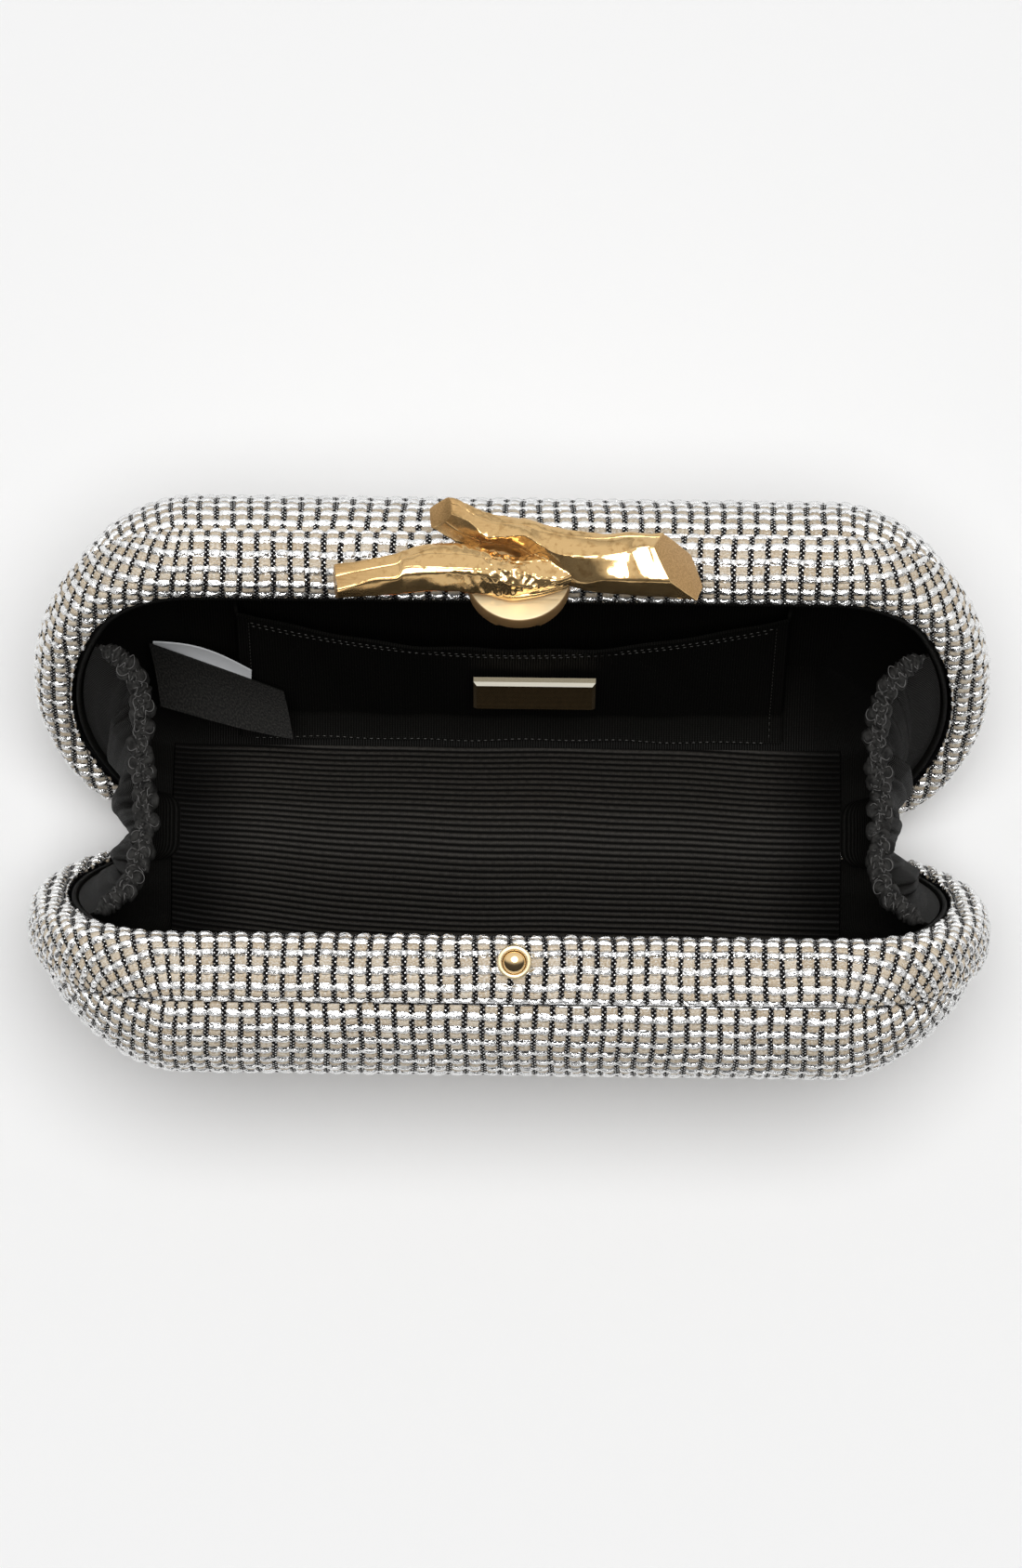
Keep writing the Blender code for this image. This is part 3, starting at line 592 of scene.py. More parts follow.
faille_inputs = {"Place": "Vector", "Ridge": "Color", "Groove": "Color"}
faille_outputs = {"Colour": "Color", "Shine": "Float", "Height": "Float"}
faille_tree, given, result = group_of("Ribbed faille", faille_inputs, faille_outputs)
along, across, _ = parts_of(given["Place"])
# Painted sheen and shade: the rib crests take the Ridge colour and the grooves the Groove colour, varied by
# slubs and threads.
crest = ramp(calc("ABSOLUTE", calc("FRACT", across) - 0.5), 0.06, 0.44, 1.0, 0.0)
threads = calc("SINE", along * 20.0) * 0.12
slubs = noise(faille_tree, 1.0, 3.0, given["Place"], (1.1, 2.3, 1))
tone = calc("MULTIPLY", crest * ramp(slubs, 0.2, 0.8, 0.55, 1.25), threads + 0.88, clamp=True)
feed(result, Colour=blended(tone, given["Groove"], given["Ridge"]))
feed(result, Shine=ramp(crest, 0.0, 1.0, 0.85, 0.5), Height=crest + threads + slubs * 0.3)


# ridge is the painted sheen colour of the rib crests, groove the painted shade colour of the grooves.
def faille(name, ridge, groove, strength, distance):
    made, tree, shader = material(name, 0.7)
    seen = placed(tree, faille_tree, Place=attribute(tree, "weave"), Ridge=ridge, Groove=groove)
    feed(shader, Base_Color=seen["Colour"], Roughness=seen["Shine"], Specular_IOR_Level=0.08)
    bump(shader, seen["Height"], strength, distance)
    return made


lining_faille = faille("lining_faille", ridge_sheen_colour, groove_shade_colour, 0.5, 0.0002)
lining_skins = (lining_inset, lining_depth, -1), (lining_inset + lining_wall, lining_inside, 1)
lining_lip = (lip_depth, wall_start - lining_straight)
lining_run, lining_length = rim_run(lining_stations)
for side in ("back", "front"):
    rings, marks = [], []
    for inset, depth, order in lining_skins:
        wall = [rim_ring(side, lining_run, inset, level) for level in lining_lip]
        wall += wall_rings(side, lining_run, inset, depth, lining_reach, lining_rows)
        gone = lengths(np.array([ring[0] for ring in wall]))
        middle = wall[-1].mean(axis=0)
        face = [middle + (wall[-1] - middle) * share for share in face_shares]
        places = [flat_marks(length * 1000, lining_length / faille_pitch) for length in gone]
        places += [flat_marks(ring[:, 2] * 1000, ring[:, 0] / faille_pitch) for ring in face]
        rings += (wall + face)[::order]
        marks += places[::order]
    faces = tube_faces(len(rings), lining_stations)
    lining = solid_piece(side + "_lining_cloth", np.concatenate(rings), faces, lining_faille)
    mark(lining, "weave", np.concatenate(marks))
    stand_in(lining, side + "_lining", side + "_half", "black_cloth")

# Hinge, rivets and clasp screws.
# A steel piano hinge of two leaves and a pin joins the halves, with four rivets in each leaf. The cloth
# floor hides it. Two steel screws come up from inside the back shell into the clasp's foot.
rivet_names = ["hinge_rivet_" + side + "_" + str(i + 1) for side in ("back", "front") for i in range(4)]
dress(steel, *rivet_names, "hinge_leaf_back", "hinge_leaf_front", "hinge_pin")
dress(steel, "clasp_screw_left", "clasp_screw_right")

# Ribbed floor cloth.
# One strip of coarser black ottoman crosses the hinge and lies on both linings' lower walls, with its
# ribs running the length of the case. It is glued at both edges and dips a little over the hinge.
floor_length = 0.1286
floor_shift = -0.0007
floor_cloth = 0.0006
floor_gap = 0.0006
floor_back_reach = 0.01397
floor_front_reach = 0.019
floor_sag = 0.0012
floor_inset = lining_inset + lining_wall + 0.001
ottoman_pitch = 0.00122
# Painted sheen on the ottoman's rib crests, then painted shade in its grooves.
ottoman_sheen_and_shade_colours = (0.038, 0.0345, 0.030, 1), (0.0014, 0.0012, 0.001, 1)
rib_relief = 0.00028
floor_columns = 150


def floor_height(depth):
    share = np.clip((depth - wall_start) / (lining_inside - wall_start), 0, 1)
    return floor_inset + wall_inset(share, lining_reach) + floor_gap + floor_cloth / 2


def closed_sheet(name, grid, look, thickness, raised, marks):
    # A closed sheet about a grid of points, raised on its upper side.
    normal = unit(np.cross(np.gradient(grid, axis=1), np.gradient(grid, axis=0)))
    rows, columns = grid.shape[:2]
    size = rows * columns
    upper = grid + normal * (thickness / 2 + raised + np.zeros((rows, columns)))[..., None]
    lower = grid - normal * thickness / 2
    number = np.arange(size).reshape(rows, columns)
    faces = grid_faces(rows, columns) + [face[::-1] for face in grid_faces(rows, columns, size)]
    loop = [*number[0], *number[1:, -1], *number[-1, -2::-1], *number[-2:0:-1, 0]]
    faces += [(b, a, a + size, b + size) for a, b in zip(loop, loop[1:] + loop[:1])]
    made = solid_piece(name, np.concatenate([upper, lower]).reshape(-1, 3), faces, look, 60)
    mark(made, "weave", np.concatenate([marks, marks]))
    return made


ottoman = faille("ottoman", *ottoman_sheen_and_shade_colours, 0.45, 0.0002)
shader = ottoman.node_tree.nodes["Principled BSDF"]
# Painted shade: towards both ends of the strip the ribs fade into the dark groove shade colour.
ends = ramp(calc("ABSOLUTE", parts_of(attribute(ottoman.node_tree, "weave"))[0]), 46, 63, 0.0, 0.85)
ribbed = Signal(shader.inputs["Base Color"].links[0].from_socket)
feed(shader, Base_Color=blended(ends, ribbed, ottoman_sheen_and_shade_colours[1]))
fold_height = float(floor_height(0.0))
profile = []
for side, reach in (("back", floor_back_reach), ("front", floor_front_reach)):
    depths = np.linspace(reach, lip_depth, 90)
    line = half_points(side, np.zeros(len(depths)), depths, floor_height(depths))[:, 1:]
    profile.append(line if side == "back" else line[::-1])
fold = np.array([[0.0, hinge_height + fold_height / math.cos(opening_half_angle) - floor_sag]])
profile = np.concatenate([profile[0], fold, profile[1]])
steps = lengths(profile)
stations = np.linspace(0, steps[-1], int(steps[-1] / ottoman_pitch * 8))
line_y, line_z = [np.interp(stations, steps, column) for column in profile.T]
kernel = np.hanning(23) / np.hanning(23).sum()
line_z = np.convolve(np.pad(line_z, 11, mode="edge"), kernel, mode="valid")
across = np.linspace(-floor_length / 2, floor_length / 2, floor_columns) + floor_shift
corner_reach = edge_radius - lining_inset - lining_wall
past_corner = np.maximum(np.abs(across) - core_half_length, 0)
heights = line_z[:, None] + corner_reach - np.sqrt(corner_reach ** 2 - past_corner ** 2)
grid = np.stack(np.broadcast_arrays(across, line_y[:, None], heights), axis=-1)
wave = 0.14 * np.sin(across / 0.012) + 0.22 * np.sin(across / 0.031 + 1) + 0.07 * np.sin(across / 0.0044)
slope = 0.02 * across[None, :]
slope = slope - 0.13 * stations[:, None] / stations[-1] * np.minimum(across, 0)[None, :] ** 2 / 0.11
rib_number = (stations[:, None] - slope) / ottoman_pitch + wave[None, :]
rib_number += 0.16 * np.sin(stations[:, None] / 0.006 + across[None, :] / 0.02)
ridge = np.clip(np.cos(2 * math.pi * (rib_number - 0.5)) * 0.5 + 0.5, 0, 1) ** 1.6
edge_room = np.minimum(stations, stations[-1] - stations)[:, None] / 0.001
raised = rib_relief * ridge * np.clip(edge_room, 0, 1) - rib_relief / 2
marks = flat_marks(grid[..., 0] * 1000, rib_number)
floor_piece = closed_sheet("floor_cloth", grid, ottoman, floor_cloth, raised, marks)
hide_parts("hinge_lining")
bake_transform(floor_piece)

# Slip pocket.
# A flat panel of the lining faille stands across the back half, and its turned top edge sags in the middle.
# It is topstitched down both sides, and its foot is caught in the floor's seam.
pocket_length = 0.104
pocket_foot = 0.0126
pocket_height = 0.0418
pocket_sag = 0.003
pocket_bow = 0.0058
pocket_cloth = 0.0009
pocket_relief = 0.0003
pocket_return = 0.0008
pocket_depth = 0.0055
pocket_hem = 0.0016
pocket_seam = 0.0022
pocket_gather = math.pi / 2 * 0.92
pocket_columns = 210
pocket_row_count = 96


def pocket_end_depth(rise):
    rest = np.clip(1 - (pocket_foot + pocket_height * rise - floor_inset) / lining_reach, 0, 1)
    wall = wall_start + (lining_inside - wall_start) * (1 - rest ** wall_power) ** (1 / wall_power)
    return wall - floor_gap - pocket_cloth / 2


def pocket_front(share, rise):
    # Depth and height of a place on the pocket.
    side_depth = np.minimum(lining_inside - pocket_depth, pocket_end_depth(rise) - pocket_return)
    bow = rise * (1 - share ** 2)
    return side_depth - pocket_bow * bow, pocket_foot + pocket_height * rise - pocket_sag * bow


def with_returns(front, left, mirror=1):
    return np.concatenate([left, front, mirror * left[:, ::-1]], axis=1)


rises = np.sin(np.linspace(0, 1, pocket_row_count) * pocket_gather) / math.sin(pocket_gather)
share_grid, rise_grid = np.meshgrid(np.linspace(-1, 1, pocket_columns), rises)
turns = np.linspace(0, 1, 6)[:-1]
x = pocket_length / 2 * share_grid
ripple = 0.00025 * np.sin(x / 0.0065 + 2 * rise_grid) * rise_grid
ripple += 0.0002 * np.sin(x / 0.0027 + 5 * rise_grid)
depth, height = pocket_front(share_grid, rise_grid)
depth += ripple * (1 - share_grid ** 4)
left_x = np.tile(-pocket_length / 2 - pocket_return * (1 - turns), (len(rises), 1))
left_depth = pocket_end_depth(rises)[:, None] * (1 - turns) + depth[:, :1] * turns
across_returns = (1, len(turns))
x = with_returns(x, left_x, -1)
depth = with_returns(depth, left_depth)
height = with_returns(height, np.tile(height[:, :1], across_returns))
below_top = (1 - with_returns(rise_grid, np.tile(rises[:, None], across_returns))) * pocket_height
raised = np.where(below_top < pocket_hem, 0.0, -pocket_relief)
raised -= 0.0002 * np.exp(-((below_top - pocket_hem) / 0.0003) ** 2)
from_seam = np.abs(np.abs(x) - (pocket_length / 2 - pocket_seam))
raised -= 0.0002 * np.exp(-(from_seam / 0.0004) ** 2)
grid, marks = half_points("back", x, depth, height), flat_marks(height * 1000, x / faille_pitch)
pocket = closed_sheet("slip_pocket_panel", grid, lining_faille, pocket_cloth - pocket_relief, raised, marks)
stand_in(pocket, "slip_pocket", "back_half", "black_cloth")

# Pocket stitching.
# Waxed black thread topstitches the pocket. One row crosses its foot, one runs down each side, and two lie
# close together under the hem.
stitch_pitch = 0.0013
stitch_length = 0.0007
stitch_radius = 0.0001
stitch_shares = np.array([-1, -0.8, -0.35, 0.35, 0.8, 1])
stitch_sizes = stitch_radius * np.sqrt(np.maximum(1 - stitch_shares ** 4, 0.02))
stitch_thread, tree, shader = material("stitch_thread", 0.35, (0.03, 0.03, 0.03, 1))
feed(shader, Base_Color=blended(noise(tree, 700), (0.008, 0.008, 0.008, 1), (0.075, 0.07, 0.062, 1)))
bump(shader, noise(tree, 3000), 0.4, 0.00005)


def thread_tube(path, sizes, sides, hint, start):
    # Points and faces of a thread along a path. The hint is any direction that the path never takes.
    along = unit(np.gradient(path, axis=0))
    first = unit(np.cross(along, hint))
    second = np.cross(along, first)
    turns = np.linspace(0, math.tau, sides, endpoint=False)[:, None]
    spokes = first[:, None] * np.cos(turns) + second[:, None] * np.sin(turns)
    rings = path[:, None] + np.asarray(sizes).reshape(-1, 1, 1) * spokes
    return list(rings.reshape(-1, 3)), tube_faces(len(path), sides, start)


def pocket_line(shares, rises, proud):
    deep, tall = pocket_front(shares, rises)
    return half_points("back", pocket_length / 2 * shares, deep - pocket_cloth / 2 - proud, tall)


side_share = 1 - pocket_seam / (pocket_length / 2)
spread = np.linspace(-side_share, side_share, 160)
up_side = np.linspace(0.02, 0.97, 60)
seam_rise = 0.008 + 0.003 * np.sin(spread * 7) + 0.003 * np.sin(spread * 17 + 1)
hem_rise = np.full(160, 1 - (pocket_hem + 0.0001) / pocket_height)
stitch_rows = (
    pocket_line(spread, seam_rise, -0.00008),
    pocket_line(spread, hem_rise, -0.00012),
    pocket_line(spread * 0.995, hem_rise - 0.026, -0.00008),
    pocket_line(np.full(60, -side_share), up_side, 0.0),
    pocket_line(np.full(60, side_share), up_side, 0.0),
)
points, faces = [], []
for row in stitch_rows:
    gone = lengths(row)
    for k in range(int(gone[-1] / stitch_pitch)):
        middle = (k + 0.5) * stitch_pitch
        low, high = [np.array([np.interp(middle + reach, gone, column) for column in row.T])
                     for reach in (-stitch_length / 2, stitch_length / 2)]
        path = (low + high) / 2 + (high - low) / 2 * stitch_shares[:, None]
        tube = thread_tube(path, stitch_sizes, 6, (0.3, 0.2, 0.9), len(points))
        points += tube[0]
        faces += tube[1]
pocket_stitching = solid_piece("pocket_stitching", points, faces, stitch_thread)
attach(pocket_stitching, "back_half")

# Name plate and sewn-in labels.
# A polished plate with a bevelled edge is pinned to the pocket, bare. A black woven label and a white
# satin care label are caught in the pocket's left seam and curl forward. Both are blank.
gold_colour = (0.80, 0.57, 0.29, 1)
plate_gold, tree, shader = material("plate_gold", 0.12, gold_colour, 1.0)
facing = parts_of(Signal(new_node(tree, "NewGeometry").outputs["Normal"]))[1]
# Painted highlight: the bevelled edge, picked out by its normal, is coloured near white and made mostly
# non-metallic.
top, edge = ramp(facing, 0.0, 0.2), ramp(facing, -0.7, -0.55)
sanded = noise(tree, 5000, 2.0)
sand = blended(sanded, (0.40, 0.34, 0.22, 1), (0.66, 0.58, 0.42, 1))
painted_bevel_highlight = blended(edge, gold_colour, (1.0, 0.95, 0.80, 1))
feed(shader, Base_Color=blended(top, painted_bevel_highlight, sand), Roughness=ramp(edge, 0.0, 1.0, 0.1, 0.5))
feed(shader, Metallic=ramp(edge, 0.0, 1.0, 1.0, 0.1))
bump(shader, sanded * top, 0.4, 0.00005)
dress(plate_gold, "name_plate")

woven_damask, tree, shader = material("woven_damask", 0.75, (0.02, 0.02, 0.022, 1))
threads = noise(tree, 1.0, 4.0, attribute(tree, "weave"), (3.2, 2.2, 1))
damask = blended(ramp(threads, 0.38, 0.68), (0.005, 0.005, 0.0045, 1), (0.025, 0.0235, 0.021, 1))
feed(shader, Base_Color=damask, Specular_IOR_Level=0.2)
bump(shader, threads, 0.8, 0.0002)
white_satin, tree, shader = material("white_satin", 0.38, (0.72, 0.73, 0.75, 1))
threads = noise(tree, 1.0, 2.0, attribute(tree, "weave"), (0.6, 12, 1))
feed(shader, Base_Color=blended(threads, (0.74, 0.75, 0.77, 1), (0.86, 0.87, 0.88, 1)))
feed(shader, Roughness=ramp(threads, 0.3, 0.7, 0.3, 0.5))
bump(shader, threads, 0.25, 0.00006)
label_rows, label_columns = 28, 44
woven_corners = (-68.8, 17.2, 45.0), (-43.6, 14.6, 31.6), (-41.8, 8.6, 24.5), (-66.9, 10.6, 31.9)
satin_corners = (-68.2, 18.6, 43.2), (-49.6, 16.2, 36.7), (-50.0, 15.0, 27.7), (-67.2, 16.6, 34.3)


def label(name, look, corners, curl, droop, thickness, solid, slot):
    # A curled strip between four corners in millimetres: X, depth and height from the top left, clockwise.
    down, along = np.meshgrid(np.linspace(0, 1, label_rows), np.linspace(0, 1, label_columns), indexing="ij")
    a, b, c, d = (np.array(corner) / 1000 for corner in corners)
    shares = (1 - down) * (1 - along), (1 - down) * along, down * along, down * (1 - along)
    place = sum(share[..., None] * corner for share, corner in zip(shares, (a, b, c, d)))
    place[..., 1] += curl * np.sin(math.pi * down) + 0.0004 * np.sin(3 * along + 2 * down)
    place[..., 2] -= droop * np.sin(math.pi * along)
    wide, tall = [float(np.linalg.norm(first) + np.linalg.norm(second)) / 2
                  for first, second in ((b - a, c - d), (d - a, c - b))]
    fold = np.exp(-((down - 0.06) / 0.03) ** 2) * 0.00012
    marks = flat_marks(along * wide * 1000, down * tall * 1000)
    made = closed_sheet(name, half_points("back", *np.moveaxis(place, -1, 0)), look, thickness, fold, marks)
    stand_in(made, solid, "back_half", slot)


label("black_woven_label", woven_damask, woven_corners, 0.0008, 0.0006, 0.00045, "woven_label", "black_cloth")
label("satin_care_label", white_satin, satin_corners, 0.0004, -0.0024, 0.0003, "care_label", "satin")

# Catch on the front rim.
# A turned brass sleeve is pressed into the rim, and a steel coil spring pushes a polished ball up against
# its lip. The clasp disc comes to lie over it as the case closes.
rim_top = 0.0985
clasp_x = 0.001
catch_depth = 0.0041
flange_top = rim_top + 0.0009
sleeve_floor = flange_top - 0.0086
sleeve_profile = (
    (0.00002, sleeve_floor), (0.0028, sleeve_floor), (0.0028, rim_top + 0.0003), (0.0030, rim_top + 0.0003),
    (0.0031, rim_top + 0.0004), (0.0031, flange_top - 0.0003), (0.00302, flange_top - 0.0001),
    (0.0028, flange_top), (0.00245, flange_top),
    (0.00228, flange_top - 0.00008), (0.00217, flange_top - 0.00025),
    (0.00215, flange_top - 0.0004), (0.0025, flange_top - 0.00042), (0.0025, sleeve_floor + 0.0005),
    (0.00002, sleeve_floor + 0.0005),
)
polished_gold, tree, shader = material("polished_gold", 0.12, gold_colour, 1.0)
feed(shader, Roughness=ramp(noise(tree, 260, 3.0), 0.3, 0.7, 0.08, 0.2))
bump(shader, noise(tree, 90, 1.0), 0.04, 0.0004)
satin_gold, tree, shader = material("satin_gold", 0.3, gold_colour, 0.8)
turning = noise(tree, 1.0, 3.0, None, (60, 2600, 900))
satin = blended(turning, (0.84, 0.68, 0.41, 1), (0.90, 0.76, 0.50, 1))
painted_side_shade = attribute(tree, "painted_side_shade", "Fac")
# Painted shade: the disc's turned side is coloured dark brown instead of the satin tone.
feed(shader, Base_Color=blended(painted_side_shade, satin, (0.46, 0.27, 0.115, 1)))
feed(shader, Roughness=ramp(turning, 0.3, 0.7, 0.36, 0.50))
bump(shader, turning, 0.25, 0.00004)
dress(steel, "catch_spring")


def turned_rings(side, profile, depth, count):
    # Rings about a line square to the rim. The profile gives radius, height and any flat cut's depth.
    angles = np.linspace(0, math.tau, count, endpoint=False)
    rings = []
    for radius, height, *cut in profile:
        deep = np.maximum(depth + radius * np.sin(angles), max(cut, default=-1))
        rings.append(half_points(side, clasp_x + radius * np.cos(angles), deep, np.full(count, height)))
    return np.concatenate(rings)


sleeve_points = turned_rings("front", sleeve_profile, catch_depth, 96)
sleeve_faces = tube_faces(len(sleeve_profile), 96)
sleeve = solid_piece("catch_sleeve_turned", sleeve_points, sleeve_faces, satin_gold, 32)
stand_in(sleeve, "catch_sleeve", "front_half", "gold")
ball_radius = 0.00225
ball_height = flange_top - math.sqrt(ball_radius ** 2 - 0.0018 ** 2)
dome_radius = 0.00206
arc = np.linspace(0.01, math.pi / 2, 24)
dome = np.linspace(0, math.pi / 2 - 0.01, 24)
ball_profile = [(min(ball_radius * math.sin(a), dome_radius), ball_height - ball_radius * math.cos(a))
                for a in arc]
ball_profile += [(dome_radius * math.cos(a), flange_top - 0.0002 + 0.0011 * math.sin(a)) for a in dome]
ball_points = turned_rings("front", ball_profile, catch_depth, 80)
ball = solid_piece("catch_ball_turned", ball_points, tube_faces(len(ball_profile), 80), polished_gold, 32)
stand_in(ball, "catch_ball", "catch_ball", "gold")

# Clasp disc.
# A thick brass disc with a satin top and a turned side, painted darker with shade, stands on a foot over the
# back rim and reaches forward past it. Its front edge is cut back underneath, where it passes over the ball.
disc_radius = 0.0093
disc_depth = -0.0013
disc_bottom = ball_height + ball_radius + 0.00035
disc_top = disc_bottom + 0.0034
disc_front = disc_depth - disc_radius
disc_count = 200
disc_side_rings = 7
foot_half_width = 0.0065
foot_depths = (0.0013, 0.0075)
foot_heights = (rim_top + 0.0003, disc_bottom + 0.0004)
disc_profile = (
    (0.00002, disc_bottom),
    (disc_radius - 0.0003, disc_bottom, disc_front + 0.0013),
    (disc_radius - 0.0001, disc_bottom, disc_front + 0.0012),
    (disc_radius, disc_bottom + 0.0001, disc_front + 0.0009),
    (disc_radius, disc_bottom + 0.0006, disc_front),
    (disc_radius, disc_top - 0.0004, disc_front),
    (disc_radius - 0.00006, disc_top - 0.0002, disc_front),
    (disc_radius - 0.0002, disc_top - 0.00005, disc_front),
    (disc_radius - 0.0004, disc_top, disc_front),
    (0.00002, disc_top),
)
disc_points = turned_rings("back", disc_profile, disc_depth, disc_count)
foot_x = clasp_x + foot_half_width * np.array([-1, 1, 1, -1])
foot_y = np.repeat(foot_depths, 2)
foot_points = [half_points("back", foot_x, foot_y, np.full(4, height)) for height in foot_heights]
points = np.concatenate([disc_points, *foot_points])
faces = tube_faces(len(disc_profile), disc_count) + tube_faces(2, 4, len(disc_points))
disc = solid_piece("clasp_disc_turned", points, faces, satin_gold, 25)
# The side rings carry the painted shade.
mark(disc, "painted_side_shade", np.arange(len(points)) < disc_side_rings * disc_count)
stand_in(disc, "clasp_disc", "back_half", "gold")

# Twig handle.
# Two crossing twigs are cast as one piece in brass, with saw-cut ends, planed tops and bark. The cuts and
# planed faces are brushed, and the ridges between them are polished bright. It is soldered to the disc.
twig_seat = disc_top + 0.0003
branch_rings = 260
sight_up, sight_level = 0.88, 0.475
# X and depth of the middle line, radius, then how far each edge between two planed faces stands up and
# out along the sight line: top edge, upper ridge, main ridge, lower ridge, bottom edge. Last, the bark
# and how brushed the metal is.
stem_table = (
    (-14.5, 8.4, 2.7, 3.2, 1.0, 2.2, 1.6, 0.5, 2.0, -1.0, 0.8, -2.2, -1.2, 0.2, 0.8),
    (-12.9, 7.9, 2.8, 3.3, 1.0, 2.2, 1.7, 0.25, 2.0, -1.2, 0.7, -2.3, -1.2, 0.2, 0.8),
    (-11.0, 7.2, 3.2, 3.6, 0.8, 2.3, 1.7, 0.1, 2.6, -2.0, 1.2, -3.6, -0.8, 0.5, 0.6),
    (-8.4, 6.1, 3.5, 3.7, 0.5, 2.2, 1.9, 0.0, 3.2, -2.2, 1.6, -3.95, -0.4, 0.8, 0.4),
    (-5.0, 5.45, 3.3, 2.9, 0.4, 1.4, 2.0, -1.6, 3.2, -2.8, 1.6, -3.9, -0.4, 1.0, 0.3),
    (-3.0, 4.95, 3.3, 2.75, 0.4, 1.3, 2.2, -1.3, 3.6, -2.6, 1.8, -3.7, -0.4, 1.0, 0.2),
    (0.8, 3.9, 3.7, 3.3, 0.4, 1.9, 2.4, 0.0, 4.2, -2.3, 2.2, -4.1, -0.3, 0.6, 0.1),
    (2.4, 3.3, 3.95, 3.7, 0.4, 2.3, 2.5, 0.3, 4.4, -2.4, 2.2, -4.5, -0.2, 0.5, 0.1),
    (4.9, 2.1, 4.4, 4.0, 0.4, 2.6, 2.4, -0.25, 4.5, -2.8, 2.2, -5.0, -0.2, 0.5, 0.1),
    (7.8, 0.55, 4.8, 4.65, 0.5, 3.3, 2.2, -0.4, 4.5, -3.6, 2.0, -5.2, -0.3, 0.5, 0.1),
    (12.0, -0.7, 5.1, 4.95, 0.6, 3.8, 2.0, 0.3, 4.5, -4.4, 2.3, -5.5, -0.4, 0.4, 0.05),
    (16.0, -1.15, 5.25, 5.1, 0.6, 4.1, 2.0, 0.85, 4.55, -3.7, 3.9, -5.75, -0.5, 0.25, 0.03),
    (20.3, -1.5, 5.5, 5.55, 0.7, 4.7, 1.9, 1.7, 4.5, -3.3, 4.2, -5.75, -0.5, 0.2, 0.02),
    (25.0, -1.9, 5.8, 6.0, 0.7, 5.2, 1.8, 3.0, 4.5, -3.0, 4.3, -5.7, -0.5, 0.15, 0.02),
    (30.0, -2.3, 4.8, 6.2, 0.7, 5.4, 1.8, 3.7, 4.45, -2.8, 4.3, -5.9, -0.5, 0.15, 0.02),
    (36.0, -2.5, 4.6, 6.2, 0.7, 5.4, 1.8, 3.7, 4.45, -2.8, 4.3, -5.9, -0.5, 0.15, 0.02),
)
shoot_table = (
    (-33.5, -6, 3.4, 3.3, 1.0, 1.0, 2.2, -1.35, 3.4, -1.7, 3.35, -2.7, 0.6, 0.1, 1.0),
    (-31.5, -5.6, 3.4, 3.3, 1.0, 1.0, 2.2, -1.35, 3.4, -1.7, 3.35, -2.8, 0.5, 0.1, 1.0),
    (-25.3, -4, 3.4, 3.0, 0.9, 1.1, 2.1, -0.9, 3.35, -1.2, 3.3, -3.95, -0.2, 0.1, 1.0),
    (-21.3, -3.45, 3.5, 3.55, 0.7, 1.4, 2.1, -0.95, 3.4, -1.3, 3.35, -4.2, -0.3, 0.1, 1.0),
    (-20.3, -3.2, 3.6, 3.75, 0.5, 1.8, 2.1, -0.5, 3.5, -1.2, 3.45, -4.2, -0.3, 0.1, 0.7),
    (-19.3, -3, 3.8, 3.95, 0.2, 2.4, 2.2, 0.5, 3.65, -0.87, 3.6, -4.2, -0.3, 0.3, 0.05),
    (-14.6, -2.3, 4.0, 4.4, 0.0, 2.6, 2.2, -0.1, 3.7, -1.0, 3.7, -4.5, -0.3, 0.5, 0.1),
    (-8.2, -1.9, 3.9, 4.0, 0.0, 2.0, 2.2, -0.6, 3.6, -1.5, 3.55, -4.8, -0.3, 0.9, 0.1),
    (-1.9, -4, 3.9, 4.2, 0.0, 2.8, 2.0, 1.1, 3.4, -0.95, 3.3, -3.5, -0.2, 2.6, 0.0),
    (1.4, -4.1, 3.7, 3.8, 0.0, 2.6, 2.0, 0.9, 3.3, -1.7, 3.0, -3.0, 0.3, 2.6, 0.0),
    (7.9, -2.6, 3.4, 3.4, 0.2, 2.0, 2.0, -1.6, 3.0, -2.7, 2.3, -3.2, 0.3, 1.0, 0.1),
    (14.5, -1.2, 2.8, 2.8, 0.2, 1.6, 1.6, -0.6, 2.2, -1.6, 1.6, -2.6, 0.0, 0.5, 0.1),
)
bud_table = (
    (-8.5, -4.1, 0.5, 0.5, 0.1, 0.3, 0.4, 0.0, 0.5, -0.3, 0.4, -0.5, 0.0, 0.1, 0.6),
    (-6.3, -4.8, 1.0, 1.0, 0.2, 0.6, 0.7, 0.0, 0.9, -0.5, 0.7, -0.9, 0.1, 0.2, 0.5),
    (-0.9, -6.1, 1.2, 1.3, 0.2, 0.9, 0.8, 0.2, 1.1, -0.4, 1.0, -1.0, 0.2, 0.3, 0.5),
    (3.7, -5.6, 1.2, 1.3, 0.2, 0.9, 0.8, 0.2, 1.1, -0.4, 1.0, -1.0, 0.2, 0.3, 0.4),
    (8.2, -4.4, 0.9, 1.0, 0.2, 0.7, 0.6, 0.1, 0.8, -0.3, 0.7, -0.8, 0.1, 0.2, 0.4),
    (10.5, -3.7, 0.6, 0.6, 0.1, 0.4, 0.4, 0.0, 0.6, -0.3, 0.4, -0.5, 0.0, 0.1, 0.4),
)
face_steps = np.array([0.012, 0.04, 0.1, 0.25, 0.42, 0.58, 0.75, 0.9, 0.96, 0.988])


